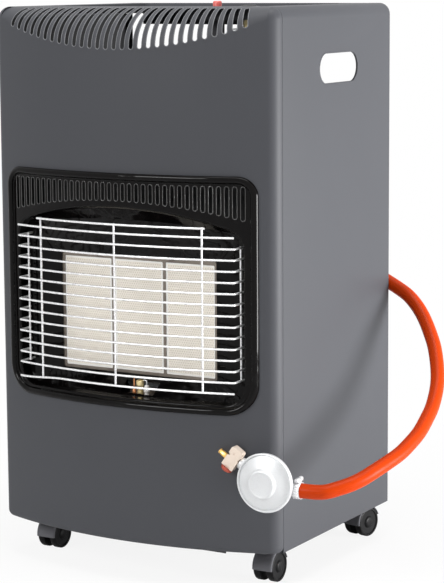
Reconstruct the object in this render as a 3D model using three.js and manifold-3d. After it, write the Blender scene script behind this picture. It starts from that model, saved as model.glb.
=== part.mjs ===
// Portable gas cabinet heater, in millimetres, with +Z up and the front towards -Y.
// The case is drawn from the seam between its front panel and its side panels, which is y = 0,
// and the whole cabinet is then moved so that the middle of its footprint is the origin.

import * as THREE from 'three';
import { mergeVertices } from 'three/addons/utils/BufferGeometryUtils.js';
import Module from 'manifold-3d';

const wasm = await Module();
wasm.setup();

// ---- Case ----
const CASE_WIDTH = 420;
const CASE_HEIGHT = 735;
const CASE_DEPTH = 303; // side panels, seam to back edge
const CASE_FOOT = 51; // lower edge of the panels above the floor
const SHEET = 0.8; // panel sheet
const SEAM = 0.3; // gap between pieces that touch
const TOP_BEND = 15; // bend from each side panel into the top
const SIDE_TOP_FLANGE = 15;
const SIDE_FOOT_FLANGE = 15;
const SIDE_EDGE_FLANGE = 12; // front and back flanges of the side panels
const HALF = CASE_WIDTH / 2;

// ---- Front panel ----
const BOW_RADIUS = 560;
const BOW_CORNER = 18; // corner between the bow and the side
const FRONT_LEAD = 0.85; // straight run between that corner and the seam
const ROLL_EASE = 1.5; // the rolled top drops this much less than it reaches back
const TONGUE = 12; // reach of the rolled top behind the seam
const FRONT_FOOT_ROUND = 9; // bend along the front panel's foot
const BOW_STEPS = 14;
const CORNER_STEPS = 3;
const ROLL_STEPS = 4;
const FOOT_STEPS = 3;

// ---- Slots in the rolled top ----
const SLOT_COUNT = 29;
const SLOT_PITCH = 12.35;
const SLOT_WIDTH = 6.5;
const SLOT_BACK = -4; // rear tips
const SLOT_FAN = 0.052; // share by which the rear tips draw together

// ---- Fire surround ----
const SURROUND_HALF = 188;
const SURROUND_BOTTOM = 228.5;
const SURROUND_TOP = 528.5;
const SURROUND_TOP_ROUND = 25;
const SURROUND_FOOT_ROUND = 40;
const BEAD_HEIGHT = 4.8; // rim bead above the front panel
const BEAD_WIDTH = 10;
const SURROUND_SHEET = 1;
const SURROUND_SINK = 0.6; // depth of the face behind the bow
const PANEL_LAP = 5.7; // front panel laps under the bead by this much
const VENT_COUNT = 35;
const VENT_MARGIN = 18.85; // from the surround's side to the middle of its first vent
const VENT_PITCH = (SURROUND_HALF - VENT_MARGIN) / ((VENT_COUNT - 1) / 2);
const VENT_WIDTH = 5;
const VENT_TOP = 515.5;
const VENT_FOOT_MID = 493;
const VENT_FOOT_RADIUS = 740;

// ---- Fire opening, as { half, bottom, round, crown, crownRadius, shoulder } ----
const RIM_SIDE = 19; // face of the surround on either side of the opening
const OPENING = {
  half: SURROUND_HALF - RIM_SIDE, bottom: 241, round: 25, crown: 484.5, crownRadius: 500, shoulder: 22,
};
const LIP_CROWN = 468; // crown of the lip's inner edge
const LIP_CROWN_RADIUS = 900;
const LIP_DEPTH = 18;
const ROUND_STEPS = 4;

// ---- Firebox and burner ----
const THROAT_HALF = 117;
const THROAT_BOTTOM = 263;
const THROAT_TOP = 417;
const THROAT_BACK = -3;
const FIREBOX_SHEET = 1;
const FIREBOX_FLANGE = 10;
const FRAME_SHEET = 0.8;
const PLAQUE_COUNT = 3;
const PLAQUE_WIDTH = 75;
const PLAQUE_HEIGHT = 147;
const PLAQUE_DEPTH = 13;
const PLAQUE_GAP = 3;
const FRAME_OVERLAP = 2; // frame laps over the plaques' outer edges
const DIVIDER_WIDTH = 4;
const PLENUM_DEPTH = 26;
const PLENUM_SHEET = 1;
const MIXER_RADIUS = 9;
const MIXER_WALL = 1;
const MIXER_MOUTH = 60;
const MIXER_END = -24;
const INJECTOR_RADIUS = 6;
const INJECTOR_LENGTH = 15;
const SHIELD_Y = 30;
const SHIELD_BOTTOM = 225;
const SHIELD_TOP = 540;
const SHIELD_FLANGE = 12;

// ---- Wire guard ----
const WIRE = 3; // diameter
const WIRE_PROUD = 8; // wire centres in front of the bow
const WIRE_HALF = OPENING.half - 7;
const WIRE_TOP = 453;
const WIRE_PITCH = 13.95;
const WIRE_COUNT = 15;
const TOP_WIRE_RISE = 11;
const TOP_WIRE_HALF = 126;
const STAY_X = 121;
const STAY_BACK = 2.4; // behind the wires that it is welded to
const SIDE_STAY_BACK = 20;
const WELD_SINK = 0.5; // the side stays stand inside the wires by this share of a wire
const PEG_HOLE = 4;
const PEG_REACH = 8;
const WIRE_DIP = 5; // the lowest wire is bent down at its left end
const WIRE_SIDES = 6;
const WIRE_STEPS = 7;

// ---- Pilot ----
const PILOT_X = 13;
const SPARK_X = PILOT_X + 10;
const PROBE_X = PILOT_X - 9;
const PILOT_Y = -22;
const PILOT_RISE = 17;
const PILOT_WINDOW = 25; // half width of the window that it stands in

// ---- Top deck and controls ----
const DECK_MARGIN = 14;
const DECK_SINK = 8;
const RECESS = { x0: 52, x1: 163, y0: 28, y1: 98, round: 20, depth: 8 };
const DECK_BACK_BEND = 8;
const DECK_SKIRT_FOOT = CASE_HEIGHT - 30;
const CONTROL_Y = 60;
const KNOB_X = 130;
const KNOB_RADIUS = 18;
const KNOB_TOP = CASE_HEIGHT + 1;
const SPINDLE_RADIUS = 4;
const VALVE = { width: 36, depth: 46, height: 34 };
const VALVE_NECK = 11;
const BUTTON_X = 84;
const BUTTON_RADIUS = 5.75;
const BUTTON_TOP = CASE_HEIGHT + 6.5;
const BUTTON_TRAVEL = 5.5;
const IGNITER_RADIUS = 9;
const IGNITER_LENGTH = 60;

// ---- Base, back and hand-holds ----
const BASE_SHEET = 1.2;
const BASE_LIP_HALF = HALF - 72;
const BASE_LIP_Y = -21;
const BASE_LIP_FOOT = 46.6;
const BASE_UPSTAND = 15;
const COVER_TOP = 325;
const COVER_FOLD = 8;
const COVER_SIDE_GAP = 1.6;
const COVER_SLOTS = 6;
const COVER_SLOT_PITCH = 26;
const COVER_SLOT_HALF = 61.7;
const COVER_SLOT_MID = 89;
const COVER_SLOT_RISE = 4;
const HOOK_X = 120;
const HOOK_WIDTH = 30;
const HANDHOLD = { y: 152.7, z: CASE_HEIGHT - 79.8, length: 106, height: 37.6, hem: 2.4 };

// ---- Gas hose and regulator ----
const HOSE_RADIUS = 9.25;
const HOSE_SIDES = 10;
const HOSE_STEPS = 44;
const CLAMP_WIDTH = 9.5;
const CLAMP_BAND = 1.2;
const REGULATOR_PLACE = [206.5, -42, 151];
const REGULATOR_TURN = 3; // degrees about Z
const DIAPHRAGM_RADIUS = 37.1;
const OUTLET_REACH = 33;
const OUTLET_BACK = 15.8;
const OUTLET_DROP = 9;
const INLET_BACK = 3;
const NECK_BACK = 7;
const NECK_ACROSS = 4;
const STEM_ACROSS = 8.4;
const INLET_ROUTE = [128, 94];
const HOSE_END = CASE_HEIGHT - 103;
const HOSE_IN = 407; // where the hose starts to climb inside the case
// Route of the hose from the regulator's outlet, round to the open back of the case.
const HOSE_OUTSIDE = [
  [238.6, -24.5, 142], [251.5, -23.8, 142], [260.4, -23, 142], [268.2, -21.4, 142],
  [279, -18, 143], [291, -8.5, 146.5], [302, 3, 150.5], [311, 17, 155.5], [318, 34, 161.5],
  [324.5, 62, 168.6], [329.5, 88, 175.6], [332, 112, 184], [333, 136, 193], [331, 163, 205],
  [327, 192, 219],
  [318, 226, 245], [301, 255, 279], [286, 272, 298], [269, 288, 316], [255, 297, 329],
  [239, 304.5, 340.5], [221, 310.5, 349], [205, 314, 356], [188, 315, 364], [171, 313, 372.5],
  [155, 307.5, 382.5], [140, 298, 393.5],
];
// Its climb to the gas valve's inlet elbow, as x, y and the share of the rise.
const HOSE_CLIMB = [
  [124, 283, 0], [112, 264, 0.064], [104, 242, 0.136], [101, 215, 0.213], [101, 185, 0.302],
  [105, 155, 0.404], [111, 130, 0.516], [118, 112, 0.631], [124, 101, 0.738], [127.3, 95.3, 0.84],
  [128, 94, 0.924], [128, 94, 1],
];

// ---- Casters ----
const CASTER_X = HALF - 42;
const CASTER_FRONT_Y = 25;
const CASTER_REAR_Y = 283;
const CASTER_PLATE = 38;
const CASTER_PLATE_THICK = 3;
const CASTER_TRAIL = 16;
const WHEEL_RADIUS = 20;
const WHEEL_WIDTH = 10;
const WHEEL_SIDES = 24;
const CASTER_WEB = 8;
const AXLE_RADIUS = 2.5;
const HOOD_WALL = 2.4;
const STEM_RADIUS = 4;
const STEM_LENGTH = 7; // in the housing
const HOOD_REAR = 20; // the hood runs from this angle behind the axle, in degrees
const HOOD_FRONT = 185;
const HOOD_ARC_STEPS = 8;
// Swivel of each caster as it stands, in degrees.
const CASTERS = {
  front_left: [-CASTER_X, CASTER_FRONT_Y, 0],
  front_right: [CASTER_X, CASTER_FRONT_Y, 0],
  rear_left: [-CASTER_X, CASTER_REAR_Y, 8],
  rear_right: [CASTER_X, CASTER_REAR_Y, -12.6],
};

const BORE_GAP = 0.3; // clearance round a pin or spindle
const PIPE_RADIUS = 4;
const PILOT_PIPE_RADIUS = 2;
const LEAD_RADIUS = 2;

// Colour, roughness and metalness of each finish.
const FINISHES = {
  paint: ['#46494d', 0.45, 0.2],
  enamel: ['#141517', 0.15, 0],
  steel: ['#b9bcc0', 0.35, 0.9],
  dullSteel: ['#8d9093', 0.5, 0.8],
  chrome: ['#d6d8da', 0.15, 1],
  ceramic: ['#e9dfc4', 0.85, 0],
  brass: ['#c9a75c', 0.35, 0.9],
  blackPlastic: ['#1b1c1e', 0.45, 0],
  redPlastic: ['#c3221c', 0.35, 0],
  rubber: ['#e2521c', 0.45, 0],
  porcelain: ['#f1ede4', 0.3, 0],
};

// ---- Shared geometry helpers ----

const rad = THREE.MathUtils.degToRad;
const vec = (x, y, z) => new THREE.Vector3(x, y, z);
const lerp = THREE.MathUtils.lerp;

// A closed geometry as a solid: shared corners welded, slivers dropped, faces turned outwards.
function solid(geometry) {
  const bare = geometry.clone();
  bare.deleteAttribute('normal');
  bare.deleteAttribute('uv');
  const welded = mergeVertices(bare, 1e-4);
  const at = welded.attributes.position;
  const corners = [];
  let volume = 0;
  for (let i = 0; i < welded.index.count; i += 3) {
    const ids = [0, 1, 2].map((k) => welded.index.getX(i + k));
    if (new Set(ids).size < 3) continue;
    corners.push(ids);
    const [a, b, c] = ids.map((id) => vec(at.getX(id), at.getY(id), at.getZ(id)));
    volume += a.dot(b.cross(c));
  }
  if (volume < 0) corners.forEach((ids) => ids.reverse());
  return new wasm.Manifold(new wasm.Mesh({
    numProp: 3,
    vertProperties: Float32Array.from(at.array),
    triVerts: Uint32Array.from(corners.flat()),
  }));
}

function geometryOf(body) {
  const mesh = body.getMesh();
  const geometry = new THREE.BufferGeometry();
  geometry.setAttribute('position', new THREE.BufferAttribute(mesh.vertProperties, 3));
  geometry.setIndex(new THREE.BufferAttribute(mesh.triVerts, 1));
  geometry.computeVertexNormals();
  return geometry;
}

const joined = (...bodies) => bodies.flat().reduce((sum, body) => sum.add(body));
const cut = (body, ...tools) => tools.flat().reduce((rest, tool) => rest.subtract(tool), body);

function box(x0, x1, y0, y1, z0, z1) {
  const geometry = new THREE.BoxGeometry(x1 - x0, y1 - y0, z1 - z0);
  return solid(geometry.translate((x0 + x1) / 2, (y0 + y1) / 2, (z0 + z1) / 2));
}

// A round bar from one point to another.
function rod(from, to, radius, sides = 12) {
  const axis = to.clone().sub(from);
  const geometry = new THREE.CylinderGeometry(radius, radius, axis.length(), sides);
  const turn = new THREE.Quaternion().setFromUnitVectors(vec(0, 1, 0), axis.clone().normalize());
  geometry.applyQuaternion(turn);
  const middle = from.clone().lerp(to, 0.5);
  return solid(geometry.translate(middle.x, middle.y, middle.z));
}

const upright = (x, y, z0, z1, radius, sides = 20) => rod(vec(x, y, z0), vec(x, y, z1), radius, sides);

const shapeOf = (points) => new THREE.Shape(points.map(([a, b]) => new THREE.Vector2(a, b)));

const extruded = (shape, depth) => new THREE.ExtrudeGeometry(shape, { depth, bevelEnabled: false });

// Prisms of a flat shape: drawn in (x, z) and run along Y, in (y, z) along X, and in (x, y) along Z.
function prismY(shape, y0, y1) {
  return solid(extruded(shape, y1 - y0).rotateX(Math.PI / 2).translate(0, y1, 0));
}

function prismX(shape, x0, x1) {
  const turn = new THREE.Matrix4().makeBasis(vec(0, 1, 0), vec(0, 0, 1), vec(1, 0, 0));
  return solid(extruded(shape, x1 - x0).applyMatrix4(turn).translate(x0, 0, 0));
}

function prismZ(shape, z0, z1) {
  return solid(extruded(shape, z1 - z0).translate(0, 0, z0));
}

// A turned piece on the Z axis, from (radius, z) points.
function turned(profile, segments = 24) {
  const points = profile.map(([r, z]) => new THREE.Vector2(r, z));
  return solid(new THREE.LatheGeometry(points, segments).rotateX(Math.PI / 2));
}

// A regular polygon, with a corner straight below its middle.
const polygon = (cx, cy, radius, sides) => arc(cx, cy, radius, -90, 270, sides).slice(0, -1);

// A round bar along a curve.
function bar(curve, radius, sides, steps) {
  const run = { steps, extrudePath: curve, bevelEnabled: false };
  return solid(new THREE.ExtrudeGeometry(shapeOf(polygon(0, 0, radius, sides)), run));
}

// A pipe through the given points, bent round at each of them.
function bentPipe(points, bend, radius, steps) {
  const path = new THREE.CurvePath();
  const corners = points.map((point) => vec(...point));
  let start = corners[0];
  for (let i = 1; i < corners.length - 1; i += 1) {
    const [back, on] = [corners[i - 1], corners[i + 1]].map((end) => end.clone().sub(corners[i]));
    const reach = Math.min(bend, back.length() / 2, on.length() / 2);
    const before = corners[i].clone().add(back.setLength(reach));
    const after = corners[i].clone().add(on.setLength(reach));
    path.add(new THREE.LineCurve3(start, before));
    path.add(new THREE.QuadraticBezierCurve3(before, corners[i], after));
    start = after;
  }
  path.add(new THREE.LineCurve3(start, corners.at(-1)));
  return bar(path, radius, 6, steps);
}

function faceted(points, faces) {
  const geometry = new THREE.BufferGeometry();
  const corners = points.flatMap((p) => p.toArray());
  geometry.setAttribute('position', new THREE.Float32BufferAttribute(corners, 3));
  geometry.setIndex(faces);
  return solid(geometry);
}

// A sheet between two matching grids of points, closed along its four edges.
function sheetBetween(outer, inner) {
  const rows = outer.length;
  const columns = outer[0].length;
  const at = (layer, row, column) => (layer * rows + row) * columns + column;
  const faces = [];
  const quad = (a, b, c, d) => faces.push(a, b, c, a, c, d);
  for (let r = 0; r < rows - 1; r += 1) {
    for (let c = 0; c < columns - 1; c += 1) {
      quad(at(0, r, c), at(0, r, c + 1), at(0, r + 1, c + 1), at(0, r + 1, c));
      quad(at(1, r, c), at(1, r + 1, c), at(1, r + 1, c + 1), at(1, r, c + 1));
    }
    quad(at(0, r + 1, 0), at(1, r + 1, 0), at(1, r, 0), at(0, r, 0));
    const last = columns - 1;
    quad(at(0, r, last), at(1, r, last), at(1, r + 1, last), at(0, r + 1, last));
  }
  for (let c = 0; c < columns - 1; c += 1) {
    quad(at(0, 0, c), at(1, 0, c), at(1, 0, c + 1), at(0, 0, c + 1));
    quad(at(0, rows - 1, c + 1), at(1, rows - 1, c + 1), at(1, rows - 1, c), at(0, rows - 1, c));
  }
  return faceted([...outer.flat(), ...inner.flat()], faces);
}

// A ring whose section runs through the given loops, each a closed line of as many points.
function ringLoft(loops) {
  const count = loops[0].length;
  const faces = [];
  loops.forEach((loop, m) => {
    const next = ((m + 1) % loops.length) * count;
    for (let n = 0; n < count; n += 1) {
      const [a, b] = [m * count + n, m * count + ((n + 1) % count)];
      const [c, d] = [next + ((n + 1) % count), next + n];
      faces.push(a, b, c, a, c, d);
    }
  });
  return faceted(loops.flat(), faces);
}

// The outline of a folded sheet: a line of points and its copy, moved to the left by the thickness.
function folded(points, thickness) {
  const line = points.map(([a, b]) => new THREE.Vector2(a, b));
  const normal = (i) => {
    const along = line[i + 1].clone().sub(line[i]).normalize();
    return new THREE.Vector2(-along.y, along.x);
  };
  const moved = line.map((point, i) => {
    const before = normal(Math.max(i - 1, 0));
    const after = normal(Math.min(i, line.length - 2));
    const middle = before.clone().add(after).normalize();
    return point.clone().addScaledVector(middle, thickness / middle.dot(after));
  });
  return new THREE.Shape([...line, ...moved.reverse()]);
}

const arc = (cx, cy, radius, from, to, steps) => Array.from({ length: steps + 1 }, (_, i) => {
  const angle = rad(lerp(from, to, i / steps));
  return [cx + radius * Math.cos(angle), cy + radius * Math.sin(angle)];
});

function roundedBox(x0, x1, y0, y1, round, steps = 5) {
  return shapeOf([
    ...arc(x1 - round, y0 + round, round, -90, 0, steps),
    ...arc(x1 - round, y1 - round, round, 0, 90, steps),
    ...arc(x0 + round, y1 - round, round, 90, 180, steps),
    ...arc(x0 + round, y0 + round, round, 180, 270, steps),
  ]);
}

// ---- The bowed front ----

const CORNER_X = HALF - BOW_CORNER;
const BOW_CENTRE = Math.sqrt((BOW_RADIUS - BOW_CORNER) ** 2 - CORNER_X ** 2) - FRONT_LEAD;
const BOW_ANGLE = THREE.MathUtils.radToDeg(Math.asin(CORNER_X / (BOW_RADIUS - BOW_CORNER)));
const TONGUE_HALF = HALF - TOP_BEND - SEAM;

// How far forward the bow stands at x, measured on a surface sunk behind it by the inset.
const bowY = (x, inset = 0) => BOW_CENTRE - Math.sqrt((BOW_RADIUS - inset) ** 2 - x * x);
// Stations along the bow, shared by what is made of flat strips, so that these lie on each other.
const BOW_STATIONS = Array.from({ length: BOW_STEPS + 1 }, (_, i) => (
  BOW_RADIUS * Math.sin(rad(lerp(-BOW_ANGLE, BOW_ANGLE, i / BOW_STEPS)))
));
const stationsWithin = (reach) => BOW_STATIONS.filter((x) => Math.abs(x) < reach - 1);
const onBow = (loop, inset) => loop.map(([x, z]) => vec(x, bowY(x, inset), z));

// Columns of the front panel from its left seam to its right: where each one stands in plan,
// how far its top rolls down, and where in plan the roll ends.
function frontColumns(inset) {
  const bow = BOW_RADIUS - inset;
  const corner = BOW_CORNER - inset;
  const tangentDrop = BOW_RADIUS * Math.cos(rad(BOW_ANGLE)) - BOW_CENTRE - ROLL_EASE;
  const middle = Array.from({ length: BOW_STEPS + 1 }, (_, i) => {
    const angle = rad(lerp(-BOW_ANGLE, BOW_ANGLE, i / BOW_STEPS));
    return {
      x: bow * Math.sin(angle),
      y: BOW_CENTRE - bow * Math.cos(angle),
      drop: BOW_RADIUS * Math.cos(angle) - BOW_CENTRE - ROLL_EASE,
      endX: TONGUE_HALF * (Math.sin(angle) / Math.sin(rad(BOW_ANGLE))),
      endY: TONGUE,
    };
  });
  const right = Array.from({ length: CORNER_STEPS + 1 }, (_, i) => {
    const angle = rad(lerp(BOW_ANGLE, 90, i / CORNER_STEPS));
    return {
      x: CORNER_X + corner * Math.sin(angle),
      y: -FRONT_LEAD - corner * Math.cos(angle),
      drop: lerp(tangentDrop, TOP_BEND, i / CORNER_STEPS),
      endX: HALF - TOP_BEND,
      endY: 0,
    };
  });
  right.push({ ...right.at(-1), y: 0 });
  const left = right.map((column) => ({ ...column, x: -column.x, endX: -column.endX })).reverse();
  return [...left, ...middle, ...right];
}

function frontGrid(inset) {
  const columns = frontColumns(inset);
  const foot = FRONT_FOOT_ROUND - inset;
  const rows = Array.from({ length: FOOT_STEPS }, (_, j) => {
    const angle = rad(90 - (90 * j) / FOOT_STEPS);
    const z = CASE_FOOT + FRONT_FOOT_ROUND - foot * Math.sin(angle);
    return frontColumns(FRONT_FOOT_ROUND - foot * Math.cos(angle)).map(({ x, y }) => vec(x, y, z));
  });
  rows.push(columns.map(({ x, y }) => vec(x, y, CASE_FOOT + FRONT_FOOT_ROUND)));
  for (let j = 0; j <= ROLL_STEPS; j += 1) {
    const angle = rad((90 * j) / ROLL_STEPS);
    rows.push(columns.map((column) => {
      const share = 1 - Math.cos(angle);
      const z = CASE_HEIGHT - column.drop + (column.drop - inset) * Math.sin(angle);
      return vec(lerp(column.x, column.endX, share), lerp(column.y, column.endY, share), z);
    }));
  }
  return rows;
}

const slotX = (i) => (i - (SLOT_COUNT - 1) / 2) * SLOT_PITCH;

// The cutter of one slot: upright from its rounded lower tip, and over the roll to its rear tip.
function slotCutter(i) {
  const x = slotX(i);
  const half = SLOT_WIDTH / 2;
  const front = new THREE.Vector2(x, bowY(x));
  const back = new THREE.Vector2(x * (1 - SLOT_FAN), SLOT_BACK);
  const along = back.clone().sub(front).normalize();
  const heading = THREE.MathUtils.radToDeg(Math.atan2(along.y, along.x));
  const start = front.clone().addScaledVector(along, -SLOT_WIDTH);
  const tip = back.clone().addScaledVector(along, -half);
  const low = CASE_HEIGHT - (-bowY(x) - ROLL_EASE) + half;
  const plan = shapeOf([
    ...arc(tip.x, tip.y, half, heading - 90, heading + 90, 2),
    [start.x - along.y * half, start.y + along.x * half],
    [start.x + along.y * half, start.y - along.x * half],
  ]);
  const inside = front.clone().addScaledVector(along, SLOT_WIDTH);
  return joined(
    prismZ(plan, low, CASE_HEIGHT + SLOT_WIDTH),
    rod(vec(start.x, start.y, low), vec(inside.x, inside.y, low), half, 6),
  );
}

function frontPanel() {
  const shell = sheetBetween(frontGrid(0), frontGrid(SHEET));
  const bendFoot = CASE_HEIGHT - TOP_BEND;
  const sides = [-1, 1].map((side) => {
    const edges = [HALF - SIDE_EDGE_FLANGE, HALF - SHEET / 2].map((x) => side * x);
    const [x0, x1] = edges.sort((a, b) => a - b);
    return box(x0, x1, -SHEET, 0, CASE_FOOT + FRONT_FOOT_ROUND, bendFoot);
  });
  const past = [-1, 1].map((side) => {
    const [x0, x1] = [TONGUE_HALF, HALF + SHEET].map((x) => side * x).sort((a, b) => a - b);
    return box(x0, x1, 0, TONGUE + SHEET, bendFoot - TOP_BEND, CASE_HEIGHT + SHEET);
  });
  const hole = prismY(shapeOf(surroundLoop(PANEL_LAP)), bowY(0) - BEAD_WIDTH, 0);
  const slots = Array.from({ length: SLOT_COUNT }, (_, i) => slotCutter(i));
  return cut(joined(shell, sides), past, hole, slots);
}

// ---- Side panels ----

function sidePanel(side) {
  const bend = arc(HALF - TOP_BEND, CASE_HEIGHT - TOP_BEND, TOP_BEND, 0, 90, 5);
  const line = [
    [HALF - SIDE_FOOT_FLANGE, CASE_FOOT], [HALF, CASE_FOOT], ...bend,
    [HALF - TOP_BEND - SIDE_TOP_FLANGE, CASE_HEIGHT],
  ];
  const wall = prismY(folded(line, SHEET), SEAM, CASE_DEPTH);
  const flange = (y) => box(
    HALF - SIDE_EDGE_FLANGE, HALF - SHEET / 2, y, y + SHEET,
    CASE_FOOT + SHEET / 2, CASE_HEIGHT - TOP_BEND,
  );
  const notch = box(
    HALF - TOP_BEND - SIDE_TOP_FLANGE - 1, HALF - TOP_BEND, 0, TONGUE + SEAM,
    CASE_HEIGHT - TOP_BEND, CASE_HEIGHT + 1,
  );
  const grip = (grow) => {
    const { y, z, length, height } = HANDHOLD;
    const round = height / 2 + grow;
    return shapeOf([
      ...arc(y + length / 2 - height / 2, z, round, -90, 90, 8),
      ...arc(y - length / 2 + height / 2, z, round, 90, 270, 8),
    ]);
  };
  const hem = cut(
    prismX(grip(SHEET), HALF - HANDHOLD.hem, HALF - SHEET / 2),
    prismX(grip(0), HALF - HANDHOLD.hem - 1, HALF + 1),
  );
  const body = joined(wall, flange(SEAM), flange(CASE_DEPTH - SHEET));
  const panel = joined(cut(body, notch, prismX(grip(0), HALF - TOP_BEND, HALF + 1)), hem);
  return side > 0 ? panel : panel.mirror([1, 0, 0]);
}

// ---- Base, back cover and heat shield ----

const BASE_BOTTOM = CASE_FOOT + SHEET + SEAM;
const BASE_TOP = BASE_BOTTOM + BASE_SHEET;
const COVER_HALF = HALF - SIDE_EDGE_FLANGE - COVER_SIDE_GAP;
const HOOK_GAP = 0.5;
const UPSTAND_Y = CASE_DEPTH - SHEET - HOOK_GAP - 2 * SHEET;

function basePlate() {
  const half = HALF - SHEET - SEAM;
  const front = 2 * SHEET;
  const plan = shapeOf([
    [-half, front], [-BASE_LIP_HALF, front], [-BASE_LIP_HALF, BASE_LIP_Y], [BASE_LIP_HALF, BASE_LIP_Y],
    [BASE_LIP_HALF, front], [half, front], [half, UPSTAND_Y + SHEET], [-half, UPSTAND_Y + SHEET],
  ]);
  const upstandHalf = HALF - SIDE_EDGE_FLANGE - COVER_SIDE_GAP;
  return joined(
    prismZ(plan, BASE_BOTTOM, BASE_TOP),
    box(-BASE_LIP_HALF, BASE_LIP_HALF, BASE_LIP_Y, BASE_LIP_Y + SHEET, BASE_LIP_FOOT, BASE_TOP),
    box(-upstandHalf, upstandHalf, UPSTAND_Y, UPSTAND_Y + SHEET, BASE_BOTTOM, CASE_FOOT + BASE_UPSTAND),
  );
}

function rearCover() {
  const back = CASE_DEPTH;
  const face = back - SHEET;
  const overTop = CASE_FOOT + BASE_UPSTAND + SEAM;
  const plate = box(-COVER_HALF, COVER_HALF, face, back, BASE_BOTTOM, COVER_TOP);
  const folds = [
    box(-COVER_HALF, COVER_HALF, back - COVER_FOLD, back, COVER_TOP - SHEET, COVER_TOP),
    box(-COVER_HALF, -COVER_HALF + SHEET, back - COVER_FOLD, back, overTop, COVER_TOP),
    box(COVER_HALF - SHEET, COVER_HALF, back - COVER_FOLD, back, overTop, COVER_TOP),
  ];
  const lapY = UPSTAND_Y - HOOK_GAP;
  const hooks = [-HOOK_X, HOOK_X].flatMap((x) => {
    const [x0, x1] = [x - HOOK_WIDTH / 2, x + HOOK_WIDTH / 2];
    return [
      box(x0, x1, lapY - SHEET, face + SHEET / 2, overTop, overTop + SHEET),
      box(x0, x1, lapY - SHEET, lapY, overTop - COVER_FOLD, overTop + SHEET),
    ];
  });
  const slotsUp = (COVER_TOP + CASE_FOOT) / 2 - ((COVER_SLOTS - 1) * COVER_SLOT_PITCH) / 2;
  const slots = [-1, 1].flatMap((side) => Array.from({ length: COVER_SLOTS }, (_, i) => {
    const z = slotsUp + i * COVER_SLOT_PITCH;
    const [x0, x1] = [side * COVER_SLOT_MID - COVER_SLOT_HALF, side * COVER_SLOT_MID + COVER_SLOT_HALF];
    const shape = roundedBox(x0, x1, z - COVER_SLOT_RISE, z + COVER_SLOT_RISE, COVER_SLOT_RISE - 1, 2);
    return prismY(shape, face - 1, back + 1);
  }));
  return cut(joined(plate, folds, hooks), slots);
}

function heatShield() {
  const half = HALF - SHEET - 2 * SEAM;
  const line = [
    [half, SHIELD_Y + SHIELD_FLANGE], [half, SHIELD_Y],
    [-half, SHIELD_Y], [-half, SHIELD_Y + SHIELD_FLANGE],
  ];
  return prismZ(folded(line, -SHEET), SHIELD_BOTTOM, SHIELD_TOP);
}

// ---- Fire surround and firebox ----

// Closed outline with a straight top, as [x, z] points counted the same at every inset.
function surroundLoop(inset) {
  const half = SURROUND_HALF - inset;
  const [low, high] = [SURROUND_BOTTOM + inset, SURROUND_TOP - inset];
  const [foot, top] = [SURROUND_FOOT_ROUND - inset, SURROUND_TOP_ROUND - inset];
  return [
    ...arc(half - foot, low + foot, foot, -90, 0, ROUND_STEPS),
    ...arc(half - top, high - top, top, 0, 90, ROUND_STEPS),
    ...stationsWithin(half - top).reverse().map((x) => [x, high]),
    ...arc(top - half, high - top, top, 90, 180, ROUND_STEPS),
    ...arc(foot - half, low + foot, foot, 180, 270, ROUND_STEPS),
    ...stationsWithin(half - foot).map((x) => [x, low]),
  ];
}

// Stations along the arch, as shares of its half width.
const ARCH_REACH = OPENING.half - OPENING.shoulder;
const ARCH_SHARES = stationsWithin(ARCH_REACH).map((x) => x / ARCH_REACH);

// Closed outline with an arched top, grown outwards by a margin.
function archLoop({ half, bottom, round, crown, crownRadius, shoulder }, grow = 0) {
  const [wide, low, foot] = [half + grow, bottom - grow, round + grow];
  const reach = wide - shoulder;
  const radius = crownRadius + grow;
  const archZ = (x) => crown + grow - radius + Math.sqrt(radius * radius - x * x);
  const slope = reach / Math.sqrt(radius * radius - reach * reach);
  const peak = archZ(reach) - shoulder * slope;
  const side = Array.from({ length: ROUND_STEPS + 1 }, (_, i) => {
    const t = i / ROUND_STEPS;
    const blend = (a, b, c) => (1 - t) ** 2 * a + 2 * t * (1 - t) * b + t * t * c;
    return [blend(wide, wide, reach), blend(peak - shoulder, peak, archZ(reach))];
  });
  const over = ARCH_SHARES.map((share) => [-share * reach, archZ(share * reach)]);
  const under = ARCH_SHARES.map((share) => [share * (wide - foot), low]);
  return [
    ...arc(wide - foot, low + foot, foot, -90, 0, ROUND_STEPS),
    ...side,
    ...over,
    ...side.map(([x, z]) => [-x, z]).reverse(),
    ...arc(foot - wide, low + foot, foot, 180, 270, ROUND_STEPS),
    ...under,
  ];
}

const LIP = { ...OPENING, crown: LIP_CROWN, crownRadius: LIP_CROWN_RADIUS };
const THROAT = {
  half: THROAT_HALF, bottom: THROAT_BOTTOM, round: 4, crown: THROAT_TOP, crownRadius: 1e5, shoulder: 4,
};

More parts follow.
